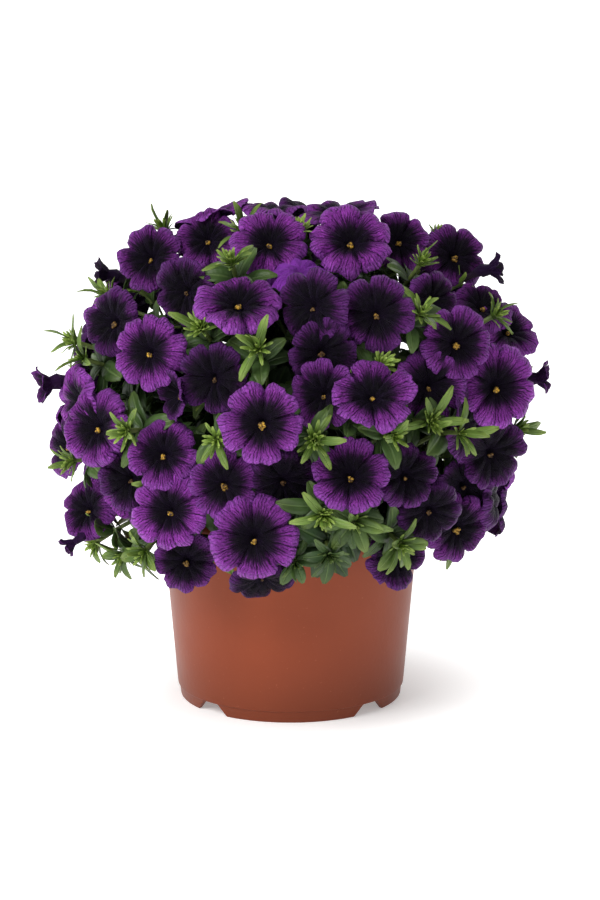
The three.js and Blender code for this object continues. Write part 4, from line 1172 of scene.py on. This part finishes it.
shoot_plans = []
for number, (across, up, lift, leaflet) in enumerate(FRONT_SHOOTS):
    spot, towards = front_spot(across, up, lift)
    half = MOUND_ABOVE if spot[2] > MOUND_LEVEL else MOUND_BELOW
    outward = unit((spot - UP * MOUND_LEVEL) / np.array((MOUND_RADIUS, MOUND_RADIUS, half)) ** 2)
    plan = {"number": number, "spot": spot, "towards": towards}
    shoot_plans.append(plan | {"outward": outward, "leaflet": leaflet})
for place, (spot, outward) in enumerate(mound_spots(REST_SHOOTS, REST_SHOOT_LOWEST, 1)):
    number = len(FRONT_SHOOTS) + place
    spot = spot + outward * REST_SHOOT_LIFT
    leaflet = seeded(LEAFLET_DRAWS + number)(*REST_LEAFLET)
    plan = {"number": number, "spot": spot, "towards": outward}
    shoot_plans.append(plan | {"outward": outward, "leaflet": leaflet})
shoots = [shoot for shoot in map(find_shoot, shoot_plans) if shoot]
for shoot in shoots:
    shoot["blades"] = blades_of(shoot)


# The foliage: small untoothed leaves sit all along the stems and the blooms' stalks, thickest
# under the shoots. They are short where a petal is in their way, as in the dense growing plant.
# Low shoots have thinner tufts over broader young leaves, and three front shoots, given by their
# numbers with a share of the usual youth, are painted darker as shade. The filling leaves are
# nearly the darkest green, partly as old leaves and partly as painted shade inside the plant.
STEM_LEAVES = 9
STEM_LEAF = (16, 24)
STEM_LEAF_LEAN = (45, 80)
STEM_LEAF_SHARES = (0.4, 0.98)
STEM_LEAF_AGE = 0.08
STEM_LEAF_DRAWS = 5000
FILLING_LEAVES = 30
FILLING_LEAF = (16, 27)
FILLING_LEAN = (40, 75)
FILLING_START = 0.3
FILLING_AGE = 0.03
STALK_LEAVES = 9
STALK_LEAF = (11, 19)
STALK_LEAF_LEAN = (45, 80)
STALK_LEAF_SHARES = (0.1, 0.76)
STALK_LEAF_AGE = (0.04, 0.2)
SHOOT_POINTS = 11
SHOOT_RADII = [1.0] * 9 + [1.1, 1.1, 1.3]
WHORLS = (0.42, 0.82)
WHORL_LEAVES = 3
WHORL_LEAF = (12, 17)
WHORL_LEAN = (55, 95)
WHORL_GROWTH = 0.3
WHORL_AGE = 0.16
TUFT_LEAFLETS = 34
TUFT_LEAFLET = (3.5, 8.5)
TUFT_SMALLEST = 0.75
TUFT_GROWTH = 0.5
TUFT_FULLNESS = (0.45, 1.15)
TUFT_LEAN = 72
TUFT_OPENING = 0.6
TUFT_STRAY = 10
TUFT_DEPTH = 0.4
TUFT_SPREAD = 0.6
TUFT_AGE = (0.85, 1)
TUFT_AGEING = 0.4
LOW_TUFT = 112
LOW_FULLNESS = 0.6
YOUNG_LEAVES = 4
YOUNG_LEAF_LENGTH = (10, 15)
YOUNG_LEAF_LEAN = (50, 95)
YOUNG_LEAF_DROOP = 0.35
YOUNG_LEAF_AGE = (0.2, 0.45)
YOUTH = {16: 0.6, 17: 0.25, 24: 0.3}
SEPALS = 5
SEPAL_LENGTH = (7.5, 10)
SEPAL_LEAN = (24, 48)
SEPAL_STRAY = 0.2
SEPAL_REACH = 1.1
SEPAL_AGE = 0.55
LEAST_LEAF = 6
LEAF_START = 0.5
LEAF_GAP = 0.8
PEDICEL_BOW = 0.45
PEDICEL_SHARES = [*np.linspace(0, 0.9, 10), 0.95, 1]
CALYX_DEPTHS = (1.6, 2.6)
PEDICEL_RADII = [0.55] * 9 + [0.715, 1.4, 1.75, 1.75, 1.575]
LIGHT_TURN = 1.1
LIGHT_RISE = 0.6


def leaning_from(axis, turn, lean):
    return axis * cos(lean) + around(square_to(axis), turn) * sin(lean)


def lit_side(root, axis):
    """The way a leaf's face looks: along its stalk, but turned outwards and up to the light."""
    out = np.array((root[0], root[1], 0))
    return unit(axis + LIGHT_TURN * (out / (np.linalg.norm(out) + 1) + UP * LIGHT_RISE))


def broad_leaf(root, axis, way, length, age):
    return new_blade(BROAD_LEAF, root, way, lit_side(root, axis), length, age)


# What a leaf may not grow into: every solid but the stems'.
solid_corners = []
solid_faces = []
for name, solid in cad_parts.items():
    if not name.startswith("stem"):
        first = len(solid_corners)
        solid_corners += [spot.co / MM for spot in solid.data.vertices]
        for face in solid.data.polygons:
            solid_faces.append([first + corner for corner in face.vertices])
in_the_way = BVHTree.FromPolygons(solid_corners, solid_faces)


def fitted(blade):
    """The leaf, shortened where something stands in its way, or None if too little is left."""
    ahead = unit(tip_of(blade) - blade["root"])
    start = Vector(blade["root"] + ahead * LEAF_START)
    distance = in_the_way.ray_cast(start, Vector(ahead), blade["length"])[3]
    if distance is None:
        return blade
    if distance - LEAF_GAP < LEAST_LEAF:
        return None
    return blade | {"length": distance - LEAF_GAP}


for number, stem in enumerate(stems):
    draw = seeded(STEM_LEAF_DRAWS + number)
    turn = draw(0, 2 * pi)
    for share in np.linspace(*STEM_LEAF_SHARES, STEM_LEAVES):
        root, axis = on_stem(stem, share)
        turn += GOLDEN_TURN
        way = leaning_from(axis, turn, radians(draw(*STEM_LEAF_LEAN)))
        blade = new_blade(LEAF, root, way, axis, draw(*STEM_LEAF), STEM_LEAF_AGE)
        if near(stem_corners, tip_of(blade)) is not None:
            stem["blades"].append(blade)
    filling = []
    for place in range(FILLING_LEAVES):
        share = FILLING_START + (1 - FILLING_START) * (place + 0.5) / FILLING_LEAVES
        root, axis = bezier(stem["corners"], share), bezier_way(stem["corners"], share)
        turn += GOLDEN_TURN
        way = leaning_from(axis, turn, radians(draw(*FILLING_LEAN)))
        # Partly old leaves, partly painted shade: the filling leaves take nearly the darkest green.
        filling.append(broad_leaf(root, axis, way, draw(*FILLING_LEAF), FILLING_AGE))
    stem["blades"] += [blade for blade in map(fitted, filling) if blade]

for bloom in blooms:
    draw = seeded(STEM_LEAF_DRAWS * 2 + bloom["number"])
    stem = bloom["stem"]
    start = bezier(stem["corners"], bloom["share"])
    end = bloom["base"] + bloom["tube_way"] * TUBE_GAP
    corners = branch_corners(start, end, -bloom["tube_way"], PEDICEL_BOW)
    path = [bezier(corners, share) for share in PEDICEL_SHARES]
    path += [end - bloom["tube_way"] * depth for depth in CALYX_DEPTHS]
    stem["lines"].append((path, PEDICEL_RADII))
    turn = draw(0, 2 * pi)
    outwards = -bloom["tube_way"]
    for number in range(SEPALS):
        turn += 2 * pi / SEPALS
        sepal_turn = turn + draw(-SEPAL_STRAY, SEPAL_STRAY)
        way = leaning_from(outwards, sepal_turn, radians(draw(*SEPAL_LEAN)))
        root = end + around(square_to(outwards), turn) * SEPAL_REACH
        sepal = new_blade(SEPAL, root, way, outwards, draw(*SEPAL_LENGTH), SEPAL_AGE)
        stem["blades"].append(sepal)
    leaves = []
    for share in np.linspace(*STALK_LEAF_SHARES, STALK_LEAVES):
        root, axis = bezier(corners, share), bezier_way(corners, share)
        turn += GOLDEN_TURN
        way = leaning_from(axis, turn, radians(draw(*STALK_LEAF_LEAN)))
        leaves.append(broad_leaf(root, axis, way, draw(*STALK_LEAF), draw(*STALK_LEAF_AGE)))
    stem["blades"] += [blade for blade in map(fitted, leaves) if blade]

for shoot in shoots:
    draw = seeded(STEM_LEAF_DRAWS * 3 + shoot["number"])
    corners = [bezier(shoot["stem"]["corners"], shoot["share"]), *shoot["corners"][1:]]
    path = [bezier(corners, share) for share in np.linspace(0, 1, SHOOT_POINTS)]
    path.append(shoot["tip"] + shoot["outward"] * HEAD_HEIGHT * 0.8)
    shoot["stem"]["lines"].append((path, SHOOT_RADII))
    turn = draw(0, 2 * pi)
    fullness = draw(*TUFT_FULLNESS)
    leaves = []
    if shoot["tip"][2] < LOW_TUFT:
        fullness *= LOW_FULLNESS
        for number in range(YOUNG_LEAVES):
            turn += 2 * pi / YOUNG_LEAVES
            way = leaning_from(shoot["outward"], turn, radians(draw(*YOUNG_LEAF_LEAN)))
            root = shoot["tip"] + shoot["outward"] * HEAD_HEIGHT * 0.3
            face = lit_side(root, shoot["outward"])
            length = draw(*YOUNG_LEAF_LENGTH)
            way = way - UP * YOUNG_LEAF_DROOP
            leaves.append(new_blade(YOUNG_LEAF, root, way, face, length, draw(*YOUNG_LEAF_AGE)))
    for share in WHORLS:
        root, axis = bezier(corners, share), bezier_way(corners, share)
        for number in range(WHORL_LEAVES):
            turn += 2 * pi / WHORL_LEAVES
            way = leaning_from(axis, turn, radians(draw(*WHORL_LEAN)))
            length = draw(*WHORL_LEAF) * (1 + WHORL_GROWTH * (1 - fullness))
            leaves.append(broad_leaf(root, axis, way, length, share * WHORL_AGE))
        turn += pi / WHORL_LEAVES
    count = round(TUFT_LEAFLETS * fullness)
    for number in range(count):
        share = (number + 0.5) / count
        turn += GOLDEN_TURN
        lean = TUFT_LEAN * share**TUFT_OPENING + draw(-TUFT_STRAY, TUFT_STRAY)
        way = leaning_from(shoot["outward"], turn, radians(lean))
        height = HEAD_HEIGHT * (1 - share) - TUFT_DEPTH
        root = shoot["tip"] + shoot["outward"] * height + way * TUFT_SPREAD
        length = draw(*TUFT_LEAFLET) * (TUFT_SMALLEST + TUFT_GROWTH * share)
        age = draw(*TUFT_AGE) - TUFT_AGEING * share
        leaves.append(new_blade(YOUNG_LEAFLET, root, way, shoot["outward"], length, age))
    # Painted shade: the blades of three front shoots keep only a share of their youth's colour.
    youth = YOUTH.get(shoot["number"], 1)
    for blade in shoot["blades"] + [blade for blade in map(fitted, leaves) if blade]:
        shoot["stem"]["blades"].append(blade | {"age": blade["age"] * youth})


# The leaves' meshes: each leaf is a thin closed strip, drawn out by formula into an oval that
# bends back, folds along its midrib, strays to one side and waves along its edges.
BLADE_THICKNESS = 0.3
BLADE_THINNING = 0.5
BLADE_LEAST = 0.18
OVAL_ENDS = 0.02
OVAL_POWERS = (0.75, 0.62)
OVAL_PEAK = 0.41
ARCH_SPREAD = (0.8, 1.2)
BELLY = 0.06
FOLD = (0.12, 0.4)
FOLD_DROP = 0.08
EDGE_WAVE = 0.025
EDGE_WAVES = 7
STRAYING = 0.1


def flat_blade(name, columns, rows):
    """A thin closed strip to make a leaf from, with its corners' places along and across it."""
    shape = bmesh.new()
    bmesh.ops.create_grid(shape, x_segments=columns, y_segments=rows, size=1)
    bmesh.ops.solidify(shape, geom=shape.faces, thickness=0.1)
    bmesh.ops.recalc_face_normals(shape, faces=shape.faces)
    mesh = mesh_of(name, shape)
    smooth(mesh)
    for face in mesh.polygons:
        face.material_index = 1
    mesh.attributes.new("blade", "FLOAT_VECTOR", "POINT")
    places = np.array([spot.co for spot in mesh.vertices], dtype=float)
    middle = (places[:, 2].max() + places[:, 2].min()) / 2
    strip = {"mesh": mesh, "across": places[:, 0], "along": (places[:, 1] + 1) / 2}
    return strip | {"is_top": places[:, 2] > middle}


blade_shapes = {"leaf": flat_blade("leaf", 4, 6), "leaflet": flat_blade("leaflet", 2, 5)}


def shaped_blade(blade, shape, draw):
    """The places of a leaf's corners, in mm."""
    side = unit(np.cross(blade["way"], blade["upper"]))
    face = np.cross(side, blade["way"])
    across, along, length = shape["across"], shape["along"], blade["length"]
    opening, closing = OVAL_POWERS
    oval = (along + OVAL_ENDS) ** opening * (1 + OVAL_ENDS - along) ** closing / OVAL_PEAK
    half = length * blade["width"] / 2 * oval + BLADE_LEAST
    arch = blade["arch"] * draw(*ARCH_SPREAD) * along**2 - BELLY * np.sin(pi * along)
    fold = draw(*FOLD) * np.abs(across) - FOLD_DROP
    wave = EDGE_WAVE * np.sin(EDGE_WAVES * along + draw(0, 6)) * across**2
    aside = across * half + draw(-STRAYING, STRAYING) * length * along**2
    height = half * fold + length * (wave - arch)
    height -= np.where(shape["is_top"], 0, BLADE_THICKNESS * (1 - BLADE_THINNING * along))
    places = blade["root"] + np.outer(along * length, blade["way"]) + np.outer(height, face)
    return places + np.outer(aside, side)


def swept(lines):
    """Round stalks along paths in mm, as one mesh: each point has its own radius."""
    drawing = bpy.data.curves.new("stalks", "CURVE")
    drawing.dimensions = "3D"
    drawing.bevel_depth = MM
    drawing.bevel_resolution = 2
    drawing.use_fill_caps = True
    for path, radii in lines:
        line = drawing.splines.new("POLY")
        line.points.add(len(path) - 1)
        for point, place, radius in zip(line.points, path, radii):
            point.co = (*(place * MM), 1)
            point.radius = radius
        line.use_smooth = True
    holder = bpy.data.objects.new("stalks", drawing)
    bpy.context.scene.collection.objects.link(holder)
    evaluated = holder.evaluated_get(bpy.context.evaluated_depsgraph_get())
    mesh = bpy.data.meshes.new_from_object(evaluated)
    bpy.data.objects.remove(holder)
    bpy.data.curves.remove(drawing)
    return mesh


stalk = Finish("green_stalk", {"Roughness": 0.5, "Specular IOR Level": 0.35})
stalk_grain = stalk.grain(260)
stalk_patches = stalk_grain.rise(0.3, 0.7)
stalk.paint("Base Color", stalk.blend(stalk_patches, colour(70, 84, 38), colour(98, 112, 58)))
stalk.relief(stalk_grain, 0.0003)

leaf = Finish("green_leaf", {"Roughness": 0.42, "Specular IOR Level": 0.3})
along, across, age = leaf.carried("blade")


def by_age(old, young):
    return leaf.blend(age, colour(*old), colour(*young))


leaf_patches = leaf.grain(55, 1).rise(0.3, 0.7)
leaf_mottle = leaf.grain(420).rise(0.3, 0.7)
old_green = leaf.blend(leaf_patches, colour(20, 38, 24), colour(44, 72, 42))
young_green = leaf.blend(leaf_patches, colour(106, 140, 40), colour(152, 184, 72))
green = leaf.blend(age, old_green, young_green)
green = leaf.blend(leaf_mottle * 0.3, green, by_age((46, 72, 38), (116, 142, 54)))
midrib = 1 - abs(across).rise(0.03, 0.2)
green = leaf.blend(midrib * 0.35, green, by_age((98, 124, 74), (170, 192, 100)))
green = leaf.blend(along.rise(0.55, 1) * age * 0.5, green, colour(190, 206, 112))
green = leaf.blend((1 - along.rise(0, 0.6)) * 0.65, green, by_age((18, 32, 18), (54, 76, 26)))
leaf.paint("Base Color", green)
side_veins = (abs(across) * 3 - along * 9).sine()
leaf.relief(side_veins * 0.25 - midrib + leaf_mottle * 0.3, 0.0003)

for number, stem in enumerate(stems):
    body = bmesh.new()
    body.verts.layers.float_vector.new("blade")
    draw = seeded(STEM_LEAF_DRAWS * 4 + number)
    for blade in stem["blades"]:
        shape = blade_shapes[blade["kind"]]
        ages = np.full(len(shape["along"]), blade["age"])
        look = np.stack((shape["along"], shape["across"], ages), axis=1)
        add_copy(body, shape["mesh"], shaped_blade(blade, shape, draw), blade=look)
    stalks = swept(stem["lines"])
    smooth(stalks)
    body.from_mesh(stalks)
    bpy.data.meshes.remove(stalks)
    stem_mesh = mesh_of(stem["node"].replace("stem", "leafy_stem"), body)
    leafy = new_piece(stem_mesh.name, stem_mesh, stalk.material, leaf.material)
    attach(leafy, "root")
    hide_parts(stem["node"])
for shape in blade_shapes.values():
    bpy.data.meshes.remove(shape["mesh"])
